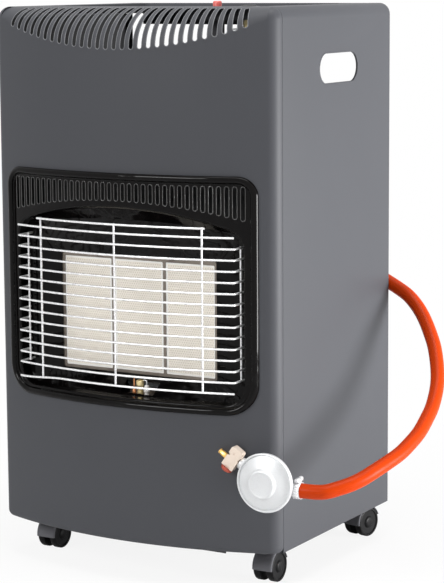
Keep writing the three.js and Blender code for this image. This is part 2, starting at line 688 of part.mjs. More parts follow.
function fireSurround() {
  const [face, back] = [SURROUND_SINK, SURROUND_SINK + SURROUND_SHEET];
  const section = [
    [0, -SEAM], [0.3, 2 - BEAD_HEIGHT], [2.5, 0.2 - BEAD_HEIGHT],
    [5.5, -BEAD_HEIGHT], [8.5, 1.8 - BEAD_HEIGHT], [BEAD_WIDTH, face], [BEAD_WIDTH, back], [7, back], [6, -SEAM],
  ];
  const bead = ringLoft(section.map(([inset, depth]) => onBow(surroundLoop(inset), depth)));
  const stations = [-SURROUND_HALF, ...stationsWithin(SURROUND_HALF), SURROUND_HALF];
  const slab = prismZ(shapeOf([
    ...stations.map((x) => [x, bowY(x, face)]),
    ...stations.map((x) => [x, bowY(x, back)]).reverse(),
  ]), SURROUND_BOTTOM, SURROUND_TOP);
  const outline = shapeOf(surroundLoop(BEAD_WIDTH - 2));
  outline.holes.push(new THREE.Path(archLoop(OPENING).map(([x, z]) => new THREE.Vector2(x, z))));
  const vents = Array.from({ length: VENT_COUNT }, (_, i) => {
    const x = (i - (VENT_COUNT - 1) / 2) * VENT_PITCH;
    const drop = VENT_FOOT_RADIUS - Math.sqrt(VENT_FOOT_RADIUS ** 2 - x * x);
    const half = VENT_WIDTH / 2;
    const shape = shapeOf([
      ...arc(x, VENT_FOOT_MID - drop + half, half, 180, 360, 2),
      ...arc(x, VENT_TOP - half, half, 0, 180, 2),
    ]);
    return prismY(shape, bowY(0) - BEAD_WIDTH, 0);
  });
  const plate = cut(slab.intersect(prismY(outline, bowY(0) - BEAD_WIDTH, 0)), vents);
  const lip = ringLoft([
    onBow(archLoop(OPENING), face),
    onBow(archLoop(LIP), LIP_DEPTH),
    onBow(archLoop(LIP, SURROUND_SHEET), LIP_DEPTH),
    onBow(archLoop(OPENING, SURROUND_SHEET), face),
  ]);
  return joined(bead, plate, lip);
}

const wireZ = (n) => WIRE_TOP - n * WIRE_PITCH;
const PEG_WIRES = [1, WIRE_COUNT - 2];

// The sides slant steeply, so the box's outer skin lies one sheet outwards and one sheet behind.
function firebox() {
  const front = LIP_DEPTH + SEAM;
  const flat = (loop, y) => loop.map(([x, z]) => vec(x, y, z));
  const shell = ringLoft([
    onBow(archLoop(LIP), front),
    flat(archLoop(THROAT), THROAT_BACK - FIREBOX_SHEET),
    flat(archLoop(THROAT, FIREBOX_SHEET), THROAT_BACK),
    onBow(archLoop(LIP, FIREBOX_SHEET), front + FIREBOX_SHEET),
  ]);
  const half = THROAT_HALF + FIREBOX_FLANGE;
  const flange = roundedBox(-half, half, THROAT_BOTTOM - FIREBOX_FLANGE, THROAT_TOP + FIREBOX_FLANGE, 4);
  flange.holes.push(new THREE.Path(archLoop(THROAT).map(([x, z]) => new THREE.Vector2(x, z))));
  const [w0, w1] = [PILOT_X - PILOT_WINDOW, PILOT_X + PILOT_WINDOW];
  const window = box(w0, w1, PILOT_Y - 10, PILOT_Y + 10, OPENING.bottom - 5, THROAT_BOTTOM);
  const pegHoles = PEG_WIRES.flatMap((n) => [-WIRE_HALF, WIRE_HALF].map((x) => (
    rod(vec(x, bowY(x, LIP_DEPTH), wireZ(n)), vec(x, THROAT_BACK + PEG_REACH, wireZ(n)), PEG_HOLE / 2, 8)
  )));
  const body = joined(shell, prismY(flange, THROAT_BACK - FIREBOX_SHEET, THROAT_BACK));
  return cut(body, window, pegHoles);
}

// ---- Burner ----

const FRAME_Y = THROAT_BACK + SEAM;
const PLAQUE_Y = FRAME_Y + FRAME_SHEET + SEAM;
const PLAQUE_MID = (THROAT_BOTTOM + THROAT_TOP) / 2 - 1;
const ROW_HALF = (PLAQUE_COUNT * PLAQUE_WIDTH + (PLAQUE_COUNT - 1) * PLAQUE_GAP) / 2;
const TRAY_HALF = ROW_HALF + SEAM + PLENUM_SHEET;
const TRAY_RISE = PLAQUE_HEIGHT / 2 + SEAM + PLENUM_SHEET;
const TRAY_BACK = PLAQUE_Y + PLENUM_DEPTH;
const TRAY_FLOOR = PLAQUE_MID - TRAY_RISE;
const MIXER_Y = PLAQUE_Y + PLAQUE_DEPTH + 4;
const MIXER_Z = TRAY_FLOOR - MIXER_RADIUS - 4;
const plaqueX = (i) => (i - (PLAQUE_COUNT - 1) / 2) * (PLAQUE_WIDTH + PLAQUE_GAP);

function burnerFrame() {
  const half = THROAT_HALF + FIREBOX_FLANGE - 1;
  const rise = FIREBOX_FLANGE - 1;
  const shape = roundedBox(-half, half, THROAT_BOTTOM - rise, THROAT_TOP + rise, 4);
  const lap = FRAME_OVERLAP;
  const windows = Array.from({ length: PLAQUE_COUNT }, (_, i) => {
    const left = i === 0 ? -ROW_HALF + lap : (plaqueX(i - 1) + plaqueX(i)) / 2 + DIVIDER_WIDTH / 2;
    const right = i === PLAQUE_COUNT - 1
      ? ROW_HALF - lap
      : (plaqueX(i) + plaqueX(i + 1)) / 2 - DIVIDER_WIDTH / 2;
    const [low, high] = [PLAQUE_MID - PLAQUE_HEIGHT / 2 + 1, PLAQUE_MID + PLAQUE_HEIGHT / 2 - 1];
    return prismY(roundedBox(left, right, low, high, 1.5, 2), FRAME_Y - 1, FRAME_Y + 2);
  });
  return cut(prismY(shape, FRAME_Y, FRAME_Y + FRAME_SHEET), windows);
}

function plaque(i) {
  const [x, half] = [plaqueX(i), PLAQUE_WIDTH / 2];
  const rise = PLAQUE_HEIGHT / 2;
  return box(x - half, x + half, PLAQUE_Y, PLAQUE_Y + PLAQUE_DEPTH, PLAQUE_MID - rise, PLAQUE_MID + rise);
}

function burnerPlenum() {
  const [low, high] = [TRAY_FLOOR, PLAQUE_MID + TRAY_RISE];
  const wall = PLENUM_SHEET;
  const tube = MIXER_RADIUS - MIXER_WALL;
  const outer = joined(
    box(-TRAY_HALF, TRAY_HALF, PLAQUE_Y, TRAY_BACK, low, high),
    rod(vec(MIXER_MOUTH, MIXER_Y, MIXER_Z), vec(MIXER_END, MIXER_Y, MIXER_Z), MIXER_RADIUS, 16),
    box(MIXER_END, MIXER_END + 30, MIXER_Y - 6, MIXER_Y + 6, MIXER_Z, low + wall / 2),
  );
  const inner = joined(
    box(wall - TRAY_HALF, TRAY_HALF - wall, PLAQUE_Y - wall, TRAY_BACK - wall, low + wall, high - wall),
    rod(vec(MIXER_MOUTH + 1, MIXER_Y, MIXER_Z), vec(MIXER_END + wall, MIXER_Y, MIXER_Z), tube, 16),
    box(MIXER_END + wall, MIXER_END + 30 - wall, MIXER_Y - 5, MIXER_Y + 5, MIXER_Z, low + 2 * wall),
  );
  return outer.subtract(inner);
}

function injectorRail() {
  const start = MIXER_MOUTH + 3;
  const end = start + INJECTOR_LENGTH;
  const middle = (start + end) / 2;
  return joined(
    rod(vec(start, MIXER_Y, MIXER_Z), vec(end, MIXER_Y, MIXER_Z), INJECTOR_RADIUS, 6),
    upright(middle, MIXER_Y, MIXER_Z - INJECTOR_RADIUS - 2, MIXER_Z, INJECTOR_RADIUS - 1, 12),
    box(middle - 4, middle + 4, MIXER_Y - 3, MIXER_Y + 3, MIXER_Z, TRAY_FLOOR - SEAM),
  );
}

// ---- Wire guard ----

// A wire along the bow, bent down towards its left end when it has a dip.
class BowLine extends THREE.Curve {
  constructor(half, z, dip = 0) {
    super();
    Object.assign(this, { half, z, dip });
  }

  getPoint(t, target = new THREE.Vector3()) {
    const x = lerp(-this.half, this.half, t);
    const fall = this.dip * THREE.MathUtils.smoothstep(-x, this.half / 2, this.half);
    return target.set(x, bowY(x, -WIRE_PROUD), this.z - fall);
  }
}

function wireGuard() {
  const radius = WIRE / 2;
  const top = WIRE_TOP + TOP_WIRE_RISE;
  const low = wireZ(WIRE_COUNT - 1);
  const wires = [bar(new BowLine(TOP_WIRE_HALF, top), radius, WIRE_SIDES, WIRE_STEPS)];
  const sideY = bowY(WIRE_HALF, -WIRE_PROUD);
  const wallY = THROAT_BACK + (bowY(OPENING.half, LIP_DEPTH + SEAM) - THROAT_BACK)
    * ((WIRE_HALF - THROAT_HALF) / (OPENING.half - THROAT_HALF));
  for (let n = 0; n < WIRE_COUNT; n += 1) {
    const lowest = n === WIRE_COUNT - 1;
    const line = new BowLine(WIRE_HALF, wireZ(n), lowest ? WIRE_DIP : 0);
    wires.push(bar(line, radius, WIRE_SIDES, WIRE_STEPS));
    if (n > 0 && !lowest) {
      const end = PEG_WIRES.includes(n) ? THROAT_BACK + PEG_REACH - 2 : wallY - 2 * SEAM;
      [-WIRE_HALF, WIRE_HALF].forEach((x) => {
        wires.push(rod(vec(x, sideY - radius / 2, wireZ(n)), vec(x, end, wireZ(n)), radius, WIRE_SIDES));
      });
    }
  }
  const stays = [-STAY_X, 0, STAY_X].map((x) => {
    const y = bowY(x, -WIRE_PROUD) + STAY_BACK;
    return rod(vec(x, y, low - radius), vec(x, y, top + radius), radius, WIRE_SIDES);
  });
  const sideX = WIRE_HALF - WIRE * WELD_SINK;
  const sideStays = [-sideX, sideX].map((x) => {
    const y = sideY + SIDE_STAY_BACK;
    const foot = vec(x, y, wireZ(PEG_WIRES[1]) - radius);
    return rod(foot, vec(x, y, wireZ(PEG_WIRES[0]) + radius), radius, WIRE_SIDES);
  });
  return joined(wires, stays, sideStays);
}

// ---- Pilot ----

const PILOT_PLATE = 1.2;
const PILOT_FLOOR = OPENING.bottom - FIREBOX_SHEET - SEAM - PILOT_PLATE;
const PILOT_SEAT = PILOT_FLOOR + PILOT_PLATE + SEAM;
const PILOT_FRONT = bowY(0, LIP_DEPTH) + 0.6;

function pilotBracket() {
  const [x0, x1] = [PILOT_X - 23, PILOT_X + 23];
  const back = PILOT_Y + 13;
  return joined(
    box(x0, x1, PILOT_FRONT, back, PILOT_FLOOR, PILOT_FLOOR + PILOT_PLATE),
    box(x0, x1, back - PILOT_PLATE, back, PILOT_FLOOR, PILOT_FLOOR + 8),
  );
}

function pilotBurner() {
  const top = PILOT_SEAT + PILOT_RISE;
  return joined(
    upright(PILOT_X, PILOT_Y, PILOT_SEAT, top, 4, 12),
    box(PILOT_X - 5, PILOT_X + 5, PILOT_Y - 4.5, PILOT_Y + 4.5, top - 3, top + 2),
  );
}

function sparkElectrode() {
  const x = SPARK_X;
  const top = PILOT_SEAT + PILOT_RISE - 4;
  return joined(
    upright(x, PILOT_Y, PILOT_SEAT, top, 3, 12),
    upright(x, PILOT_Y, top - 1, top + 7, 0.9, 6),
    rod(vec(x + 0.5, PILOT_Y, top + 6.5), vec(x - 5, PILOT_Y, top + 6.5), 0.9, 6),
  );
}

function thermocouple() {
  return joined(
    upright(PROBE_X, PILOT_Y, PILOT_SEAT, PILOT_SEAT + 9, 3.4, 12),
    upright(PROBE_X, PILOT_Y, PILOT_SEAT + 8, PILOT_SEAT + PILOT_RISE + 4, 2, 10),
  );
}

// ---- Top deck and controls ----

const DECK_HALF = HALF - TOP_BEND - SIDE_TOP_FLANGE - SEAM - 0.1;
const DECK_FRONT = TONGUE + SEAM + 0.1;
const DECK_FLOOR = CASE_HEIGHT - DECK_SINK;
const RECESS_FLOOR = DECK_FLOOR - RECESS.depth;
const UNDER_FLOOR = RECESS_FLOOR - SHEET - SEAM;
const COLLAR_RADIUS = IGNITER_RADIUS - 1.3;

function topDeck() {
  const [half, top, back] = [DECK_HALF, CASE_HEIGHT, CASE_DEPTH - DECK_BACK_BEND];
  const [x0, x1] = [DECK_MARGIN - half, half - DECK_MARGIN];
  const [y0, y1] = [DECK_FRONT + DECK_MARGIN, CASE_DEPTH - DECK_MARGIN];
  const { round } = RECESS;
  const cup = (grow) => roundedBox(
    RECESS.x0 - grow, RECESS.x1 + grow, RECESS.y0 - grow, RECESS.y1 + grow, round + grow,
  );
  const hemTop = top - SHEET - SEAM;
  const sideHems = [-1, 1].flatMap((side) => {
    const [far, near, step] = [half + SIDE_TOP_FLANGE - 5, half - SHEET, half].map((x) => side * x);
    const [a0, a1] = [near, far].sort((a, b) => a - b);
    const [b0, b1] = [near, step].sort((a, b) => a - b);
    return [
      box(a0, a1, DECK_FRONT, back, hemTop - SHEET, hemTop),
      box(b0, b1, DECK_FRONT, back, hemTop - SHEET, top),
    ];
  });
  const tuck = hemTop - 2 * SHEET + 0.7;
  const frontHem = [
    box(-half + 2, half - 2, DECK_FRONT - 4.4, DECK_FRONT + SHEET, tuck - SHEET, tuck),
    box(-half + 2, half - 2, DECK_FRONT, DECK_FRONT + SHEET, tuck - SHEET, top),
  ];
  const backLine = [
    [CASE_DEPTH, DECK_SKIRT_FOOT],
    ...arc(back, top - DECK_BACK_BEND, DECK_BACK_BEND, 0, 90, 4),
    [back - DECK_BACK_BEND / 2, top],
  ];
  const shell = joined(
    box(-half, half, DECK_FRONT, back, top - SHEET, top),
    box(x0 - SHEET, x1 + SHEET, y0 - SHEET, y1 + SHEET, DECK_FLOOR - SHEET, top - SHEET / 2),
    prismX(folded(backLine, SHEET), -half, half),
    sideHems,
    frontHem,
  );
  const sunk = cut(shell, box(x0, x1, y0, y1, DECK_FLOOR, top + 1));
  const withCup = joined(sunk, prismZ(cup(SHEET), RECESS_FLOOR - SHEET, DECK_FLOOR - SHEET / 2));
  return cut(
    withCup,
    prismZ(cup(0), RECESS_FLOOR, top),
    upright(KNOB_X, CONTROL_Y, UNDER_FLOOR, top, SPINDLE_RADIUS + 1),
    upright(BUTTON_X, CONTROL_Y, UNDER_FLOOR, top, COLLAR_RADIUS + BORE_GAP),
  );
}

const VALVE_TOP = UNDER_FLOOR - VALVE_NECK;
const VALVE_FOOT = VALVE_TOP - VALVE.height;
const SPINDLE_TOP = KNOB_TOP - 4;

function gasValve() {
  const [w, d] = [VALVE.width / 2, VALVE.depth / 2];
  const plan = roundedBox(KNOB_X - w, KNOB_X + w, CONTROL_Y - d, CONTROL_Y + d, 4, 3);
  const body = prismZ(plan, VALVE_FOOT, VALVE_TOP);
  const neck = upright(KNOB_X, CONTROL_Y, VALVE_TOP - 1, UNDER_FLOOR, SPINDLE_RADIUS + 4);
  const bore = upright(KNOB_X, CONTROL_Y, VALVE_TOP - 8, UNDER_FLOOR + 1, SPINDLE_RADIUS + BORE_GAP);
  return cut(joined(body, neck), bore);
}

const valveSpindle = () => upright(KNOB_X, CONTROL_Y, VALVE_TOP - 8 + SEAM, SPINDLE_TOP, SPINDLE_RADIUS);

function controlKnob() {
  const foot = RECESS_FLOOR + 1.5;
  const body = turned([
    [0, foot], [KNOB_RADIUS, foot], [KNOB_RADIUS, foot + 3], [KNOB_RADIUS - 1.5, KNOB_TOP - 3],
    [KNOB_RADIUS - 3.5, KNOB_TOP - 1.5], [0, KNOB_TOP - 1.5],
  ]).translate([KNOB_X, CONTROL_Y, 0]);
  const grip = prismZ(
    roundedBox(KNOB_X - 3, KNOB_X + 3, CONTROL_Y - KNOB_RADIUS + 2, CONTROL_Y + KNOB_RADIUS - 2, 2.5, 3),
    KNOB_TOP - 2.5, KNOB_TOP,
  );
  const bore = upright(KNOB_X, CONTROL_Y, foot - 1, SPINDLE_TOP + SEAM, SPINDLE_RADIUS + BORE_GAP);
  return cut(joined(body, grip), bore);
}

const BUTTON_FOOT = RECESS_FLOOR - 10;

function igniterBody() {
  const bore = BUTTON_RADIUS + BORE_GAP;
  return turned([
    [0, UNDER_FLOOR - IGNITER_LENGTH], [IGNITER_RADIUS, UNDER_FLOOR - IGNITER_LENGTH],
    [IGNITER_RADIUS, UNDER_FLOOR], [COLLAR_RADIUS, UNDER_FLOOR], [COLLAR_RADIUS, RECESS_FLOOR + SEAM],
    [COLLAR_RADIUS + 2.6, RECESS_FLOOR + SEAM], [COLLAR_RADIUS + 2.6, RECESS_FLOOR + 2.2],
    [COLLAR_RADIUS + 1, RECESS_FLOOR + 3], [bore, RECESS_FLOOR + 3],
    [bore, BUTTON_FOOT - BUTTON_TRAVEL - 1], [0, BUTTON_FOOT - BUTTON_TRAVEL - 1],
  ], 16).translate([BUTTON_X, CONTROL_Y, 0]);
}

const igniterButton = () => turned([
  [0, BUTTON_FOOT], [BUTTON_RADIUS, BUTTON_FOOT], [BUTTON_RADIUS, BUTTON_TOP - 1.5],
  [BUTTON_RADIUS - 1.2, BUTTON_TOP - 0.4], [0, BUTTON_TOP],
], 16).translate([BUTTON_X, CONTROL_Y, 0]);

// ---- Pipes inside the case ----

const PIPE_X = HALF - 25;
const PIPE_LOW = SHIELD_BOTTOM - 20;
const TURN_X = PIPE_X - 35; // where the thin lines turn forward
const LEAD_TOP = HOSE_END - 22; // the lead crosses to the side of the case between these two heights
const LEAD_TURN = HOSE_END - 92;
const PORT_Z = VALVE_FOOT + 10;

function burnerPipe() {
  const injectorX = MIXER_MOUTH + 3 + INJECTOR_LENGTH / 2;
  return bentPipe([
    [KNOB_X + VALVE.width / 2 + SEAM, CONTROL_Y - 6, PORT_Z], [PIPE_X, CONTROL_Y - 6, PORT_Z],
    [PIPE_X, CONTROL_Y - 6, PIPE_LOW], [PIPE_X, MIXER_Y, PIPE_LOW], [injectorX, MIXER_Y, PIPE_LOW],
    [injectorX, MIXER_Y, MIXER_Z - INJECTOR_RADIUS - 2 - SEAM],
  ], 14, PIPE_RADIUS, 30);
}

function pilotPipe() {
  const y = CONTROL_Y + 8;
  const low = PIPE_LOW - 12;
  return bentPipe([
    [KNOB_X + VALVE.width / 2 + SEAM, y, PORT_Z], [PIPE_X + 12, y, PORT_Z], [PIPE_X + 12, y, low],
    [TURN_X, y, low], [TURN_X, PILOT_Y, low], [PILOT_X, PILOT_Y, low],
    [PILOT_X, PILOT_Y, PILOT_FLOOR - SEAM],
  ], 12, PILOT_PIPE_RADIUS, 32);
}

function ignitionLead() {
  const x = SPARK_X;
  const low = PIPE_LOW + 12;
  return bentPipe([
    [BUTTON_X, CONTROL_Y, UNDER_FLOOR - IGNITER_LENGTH - SEAM], [BUTTON_X, CONTROL_Y, LEAD_TOP],
    [PIPE_X - 12, CONTROL_Y + 2, LEAD_TURN], [PIPE_X - 12, CONTROL_Y + 2, low],
    [TURN_X - 12, CONTROL_Y + 2, low], [TURN_X - 12, PILOT_Y, low], [x, PILOT_Y, low],
    [x, PILOT_Y, PILOT_FLOOR - SEAM],
  ], 14, LEAD_RADIUS, 32);
}

// The elbow on the back of the gas valve, ending in the nozzle that the hose is pushed on to.
function hoseElbow() {
  const [x, y] = INLET_ROUTE;
  const z = PORT_Z + 4;
  return joined(
    rod(vec(x, CONTROL_Y + VALVE.depth / 2 + SEAM, z), vec(x, y + 8, z), 8, 8),
    upright(x, y, HOSE_END + 18, z + 8, 8, 8),
    upright(x, y, HOSE_END + SEAM, HOSE_END + 19, 6, 12),
  );
}

// ---- Hose, clamps and regulator ----

function gasHose() {
  const climb = HOSE_CLIMB.map(([x, y, share]) => [x, y, lerp(HOSE_IN, HOSE_END, share)]);
  const route = [...HOSE_OUTSIDE, ...climb].map((point) => vec(...point));
  return bar(new THREE.CatmullRomCurve3(route), HOSE_RADIUS, HOSE_SIDES, HOSE_STEPS);
}

// A band clamp round the Z axis, from z = 0 up, with its worm housing on the +X side.
function bandClamp() {
  const inner = HOSE_RADIUS + BORE_GAP;
  const outer = inner + CLAMP_BAND;
  const housing = box(outer - 0.6, outer + 4.4, -5, 5, 1.6, CLAMP_WIDTH - 1.6);
  const screwAt = (y) => vec(outer + 2.8, y, CLAMP_WIDTH / 2);
  const screw = rod(screwAt(-8.5), screwAt(7), 2.6, 8);
  const band = upright(0, 0, 0, CLAMP_WIDTH, outer, 16);
  return cut(joined(band, housing, screw), upright(0, 0, -1, CLAMP_WIDTH + 1, inner, 16));
}

const INLET_AXIS = vec(-0.82, 0, 0.572);
const ACROSS_AXIS = vec(-0.572, 0, -0.82);
const BLOCK_OUT = 51.5;
const BLOCK_HALF = 8.5;
const BLOCK_TOP = -10.6; // ends of the inlet block across the neck
const BLOCK_END = 17.9;
const BLOCK_DEPTH = 5; // half of it

// Rear half of the diaphragm housing, with the outlet boss and the inlet neck.
function regulatorBody() {
  const r = DIAPHRAGM_RADIUS;
  const bowl = turned([
    [0, -16], [14, -16], [20, -12], [r - 6, -5], [r, -4], [r, -SEAM / 2], [0, -SEAM / 2],
  ], 24).rotate([90, 0, 0]);
  const outletAt = (x) => vec(x, OUTLET_BACK, -OUTLET_DROP);
  const boss = rod(outletAt(8), outletAt(OUTLET_REACH - 10), 8, 12);
  const nozzle = rod(outletAt(OUTLET_REACH - 11), outletAt(OUTLET_REACH - SEAM), 6, 12);
  const neckAt = (out) => {
    const point = INLET_AXIS.clone().multiplyScalar(out).addScaledVector(ACROSS_AXIS, NECK_ACROSS);
    return point.setY(NECK_BACK);
  };
  const neck = rod(neckAt(20), neckAt(BLOCK_OUT - BLOCK_HALF - SEAM), 6.5, 12);
  return joined(bowl, boss, nozzle, neck);
}

const regulatorBonnet = () => {
  const r = DIAPHRAGM_RADIUS;
  return turned([
    [0, SEAM / 2], [r, SEAM / 2], [r + 0.6, 1.6], [r - 0.4, 3.4], [r - 2.2, 3], [r - 3, 2.2],
    [19, 8.5], [18.5, 12.5], [17, 13.6], [0, 13.6],
  ], 24).rotate([90, 0, 0]);
};

// The inlet block lies across the neck, so it is drawn along the axis and then turned with it.
function alongInlet(body) {
  const tilt = THREE.MathUtils.radToDeg(Math.atan2(-INLET_AXIS.z, INLET_AXIS.x));
  return body.rotate([0, tilt, 0]).translate([0, INLET_BACK, 0]);
}

const regulatorInlet = () => alongInlet(joined(
  prismY(
    roundedBox(BLOCK_OUT - BLOCK_HALF, BLOCK_OUT + BLOCK_HALF, BLOCK_TOP, BLOCK_END, 3),
    -BLOCK_DEPTH, BLOCK_DEPTH,
  ),
  rod(
    vec(BLOCK_OUT + BLOCK_HALF - 1, 0, STEM_ACROSS),
    vec(BLOCK_OUT + BLOCK_HALF + 12, 0, STEM_ACROSS), 3.6, 8,
  ),
));

const regulatorCap = () => alongInlet(
  rod(vec(BLOCK_OUT, 0, BLOCK_END + SEAM), vec(BLOCK_OUT, 0, BLOCK_END + 5), BLOCK_HALF - 0.5, 16),
);

// ---- Casters ----

const PLATE_TOP = BASE_BOTTOM - SEAM;
const PLATE_FOOT = PLATE_TOP - CASTER_PLATE_THICK;
const BOSS_TOP = PLATE_FOOT - SEAM;
const HOOD_INNER = WHEEL_RADIUS + 1;
const HOOD_OUTER = HOOD_INNER + HOOD_WALL;
const WHEEL_START = CASTER_WEB / 2 + 0.4;
const AXLE_HALF = WHEEL_START + WHEEL_WIDTH + SEAM;

function casterMount() {
  const side = CASTER_PLATE / 2;
  const plate = prismZ(roundedBox(-side, side, -side, side, 4, 2), PLATE_FOOT, PLATE_TOP);
  return joined(plate, upright(0, 0, BOSS_TOP - STEM_LENGTH, PLATE_FOOT + 1, STEM_RADIUS, 12));
}

function casterHousing() {
  const hoodHalf = AXLE_HALF - SEAM;
  const centre = [CASTER_TRAIL, WHEEL_RADIUS];
  const round = (radius) => arc(...centre, radius, HOOD_REAR, HOOD_FRONT, HOOD_ARC_STEPS);
  const hood = shapeOf([...round(HOOD_OUTER), ...round(HOOD_INNER).reverse()]);
  const web = shapeOf([[CASTER_TRAIL + 2, WHEEL_RADIUS], ...round(HOOD_INNER + 1)]);
  const body = joined(
    prismX(hood, -hoodHalf, hoodHalf),
    prismX(web, -CASTER_WEB / 2, CASTER_WEB / 2),
    rod(vec(-CASTER_WEB / 2, ...centre), vec(CASTER_WEB / 2, ...centre), 6, 12),
    upright(0, 0, 2 * WHEEL_RADIUS + 0.5, BOSS_TOP, STEM_RADIUS + 5, 12),
  );
  return cut(
    body,
    upright(0, 0, BOSS_TOP - STEM_LENGTH - SEAM, BOSS_TOP + 1, STEM_RADIUS + BORE_GAP, 12),
    rod(vec(-CASTER_WEB, ...centre), vec(CASTER_WEB, ...centre), AXLE_RADIUS + BORE_GAP, 12),
  );
}

function casterAxle() {
  const across = (from, to, radius) => rod(vec(from, 0, 0), vec(to, 0, 0), radius, 12);
  const end = (side) => across(side * AXLE_HALF, side * (AXLE_HALF + 0.7), AXLE_RADIUS + 2);
  return joined(across(-AXLE_HALF - 0.5, AXLE_HALF + 0.5, AXLE_RADIUS), end(-1), end(1));
}

function casterWheel() {
  const shape = shapeOf(polygon(0, 0, WHEEL_RADIUS, WHEEL_SIDES));
  const bore = rod(vec(-WHEEL_WIDTH, 0, 0), vec(WHEEL_WIDTH, 0, 0), AXLE_RADIUS + BORE_GAP, 12);
  return cut(prismX(shape, -WHEEL_WIDTH / 2, WHEEL_WIDTH / 2), bore);
}

// ---- The cabinet ----

// The footprint runs from the front of the guard to the back of the rearmost caster.
const FRONT_REACH = bowY(0, -WIRE_PROUD) - WIRE / 2;
const casterReach = ([, y, swivel]) => {
  const turn = rad(Math.abs(swivel));
  const hoodBack = CASTER_TRAIL + HOOD_OUTER * Math.cos(rad(HOOD_REAR));
  return y + hoodBack * Math.cos(turn) + (WHEEL_START + WHEEL_WIDTH) * Math.sin(turn);
};
const BACK_REACH = Math.max(...Object.values(CASTERS).map(casterReach));

const heater = new THREE.Group();
const cabinet = new THREE.Group();
cabinet.position.y = -(FRONT_REACH + BACK_REACH) / 2;
heater.add(cabinet);

function place(name, finish, body, parent = cabinet) {
  const [color, roughness, metalness] = FINISHES[finish];
  const material = new THREE.MeshStandardMaterial({ color, roughness, metalness });
  const mesh = new THREE.Mesh(geometryOf(body), material);
  mesh.name = name;
  parent.add(mesh);
  return mesh;
}

place('front_panel', 'paint', frontPanel());
place('side_panel_left', 'paint', sidePanel(-1));
place('side_panel_right', 'paint', sidePanel(1));
place('top_deck', 'paint', topDeck());
place('base_plate', 'paint', basePlate());
place('rear_cover', 'paint', rearCover());
place('heat_shield', 'steel', heatShield());

place('fire_surround', 'enamel', fireSurround());
place('firebox', 'enamel', firebox());
place('burner_frame', 'dullSteel', burnerFrame());
place('burner_plenum', 'dullSteel', burnerPlenum());
['left', 'centre', 'right'].forEach((side, i) => place(`plaque_${side}`, 'ceramic', plaque(i)));
place('injector_rail', 'brass', injectorRail());
place('wire_guard', 'chrome', wireGuard());

place('pilot_bracket', 'dullSteel', pilotBracket());
place('pilot_burner', 'brass', pilotBurner());
place('spark_electrode', 'porcelain', sparkElectrode());
place('thermocouple', 'dullSteel', thermocouple());

place('gas_valve', 'dullSteel', gasValve());
place('valve_spindle', 'brass', valveSpindle());
place('control_knob', 'blackPlastic', controlKnob());
place('igniter_body', 'blackPlastic', igniterBody());
place('igniter_button', 'redPlastic', igniterButton());
place('burner_pipe', 'brass', burnerPipe());
place('pilot_pipe', 'brass', pilotPipe());
place('ignition_lead', 'blackPlastic', ignitionLead());
place('hose_elbow', 'brass', hoseElbow());

place('gas_hose', 'rubber', gasHose());
const inletClamp = place('hose_clamp_inlet', 'chrome', bandClamp());
inletClamp.position.set(...INLET_ROUTE, HOSE_END - CLAMP_WIDTH - 4);
inletClamp.rotation.z = rad(90);

const regulator = new THREE.Group();
regulator.position.set(...REGULATOR_PLACE);
regulator.rotation.z = rad(REGULATOR_TURN);
cabinet.add(regulator);
place('regulator_body', 'dullSteel', regulatorBody(), regulator);
place('regulator_bonnet', 'steel', regulatorBonnet(), regulator);
place('regulator_inlet', 'brass', regulatorInlet(), regulator);
place('regulator_cap', 'redPlastic', regulatorCap(), regulator);
const outletClamp = place('hose_clamp_regulator', 'chrome', bandClamp(), regulator);
outletClamp.position.set(OUTLET_REACH + 0.6, OUTLET_BACK, -OUTLET_DROP);
outletClamp.rotation.set(0, rad(90), rad(180));

Object.entries(CASTERS).forEach(([corner, [x, y, swivel]]) => {
  const fork = new THREE.Group();
  fork.position.set(x, y, 0);
  fork.rotation.z = rad(swivel);
  cabinet.add(fork);
  const mount = place(`caster_${corner}_mount`, 'dullSteel', casterMount());
  mount.position.set(x, y, 0);
  place(`caster_${corner}_housing`, 'blackPlastic', casterHousing(), fork);
  const axle = place(`caster_${corner}_axle`, 'steel', casterAxle(), fork);
  axle.position.set(0, CASTER_TRAIL, WHEEL_RADIUS);
  [['left', -1], ['right', 1]].forEach(([side, sign]) => {
    const wheel = place(`caster_${corner}_wheel_${side}`, 'blackPlastic', casterWheel(), fork);
    wheel.position.set(sign * (WHEEL_START + WHEEL_WIDTH / 2), CASTER_TRAIL, WHEEL_RADIUS);
  });
});

export default heater;
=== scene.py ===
"""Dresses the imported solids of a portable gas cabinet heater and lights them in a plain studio."""

import logging
import math
from collections.abc import Callable, Iterable, Sequence
from dataclasses import dataclass
from enum import Enum

import bmesh
import bpy
from mathutils import Matrix, Vector


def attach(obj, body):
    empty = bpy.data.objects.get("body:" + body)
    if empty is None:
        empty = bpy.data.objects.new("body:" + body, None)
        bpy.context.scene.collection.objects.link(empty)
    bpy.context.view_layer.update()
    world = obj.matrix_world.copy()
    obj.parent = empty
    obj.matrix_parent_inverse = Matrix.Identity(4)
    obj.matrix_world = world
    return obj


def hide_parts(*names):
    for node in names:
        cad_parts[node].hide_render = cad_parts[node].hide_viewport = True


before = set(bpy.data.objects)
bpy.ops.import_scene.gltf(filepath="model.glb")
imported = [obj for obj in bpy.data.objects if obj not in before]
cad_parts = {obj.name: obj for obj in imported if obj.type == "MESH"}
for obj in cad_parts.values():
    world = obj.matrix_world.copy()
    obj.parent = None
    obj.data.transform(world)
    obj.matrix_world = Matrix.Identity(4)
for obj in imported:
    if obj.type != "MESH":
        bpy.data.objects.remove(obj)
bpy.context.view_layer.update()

log = logging.getLogger("heater")

Point = tuple[float, float, float]
Flat = tuple[float, float]
Colour = tuple[float, float, float]
Piece = bpy.types.Object

# Sizes are written in millimetres from the seam between the front panel and the side panels.
MM = 0.001
SEAM_Y = -0.129859


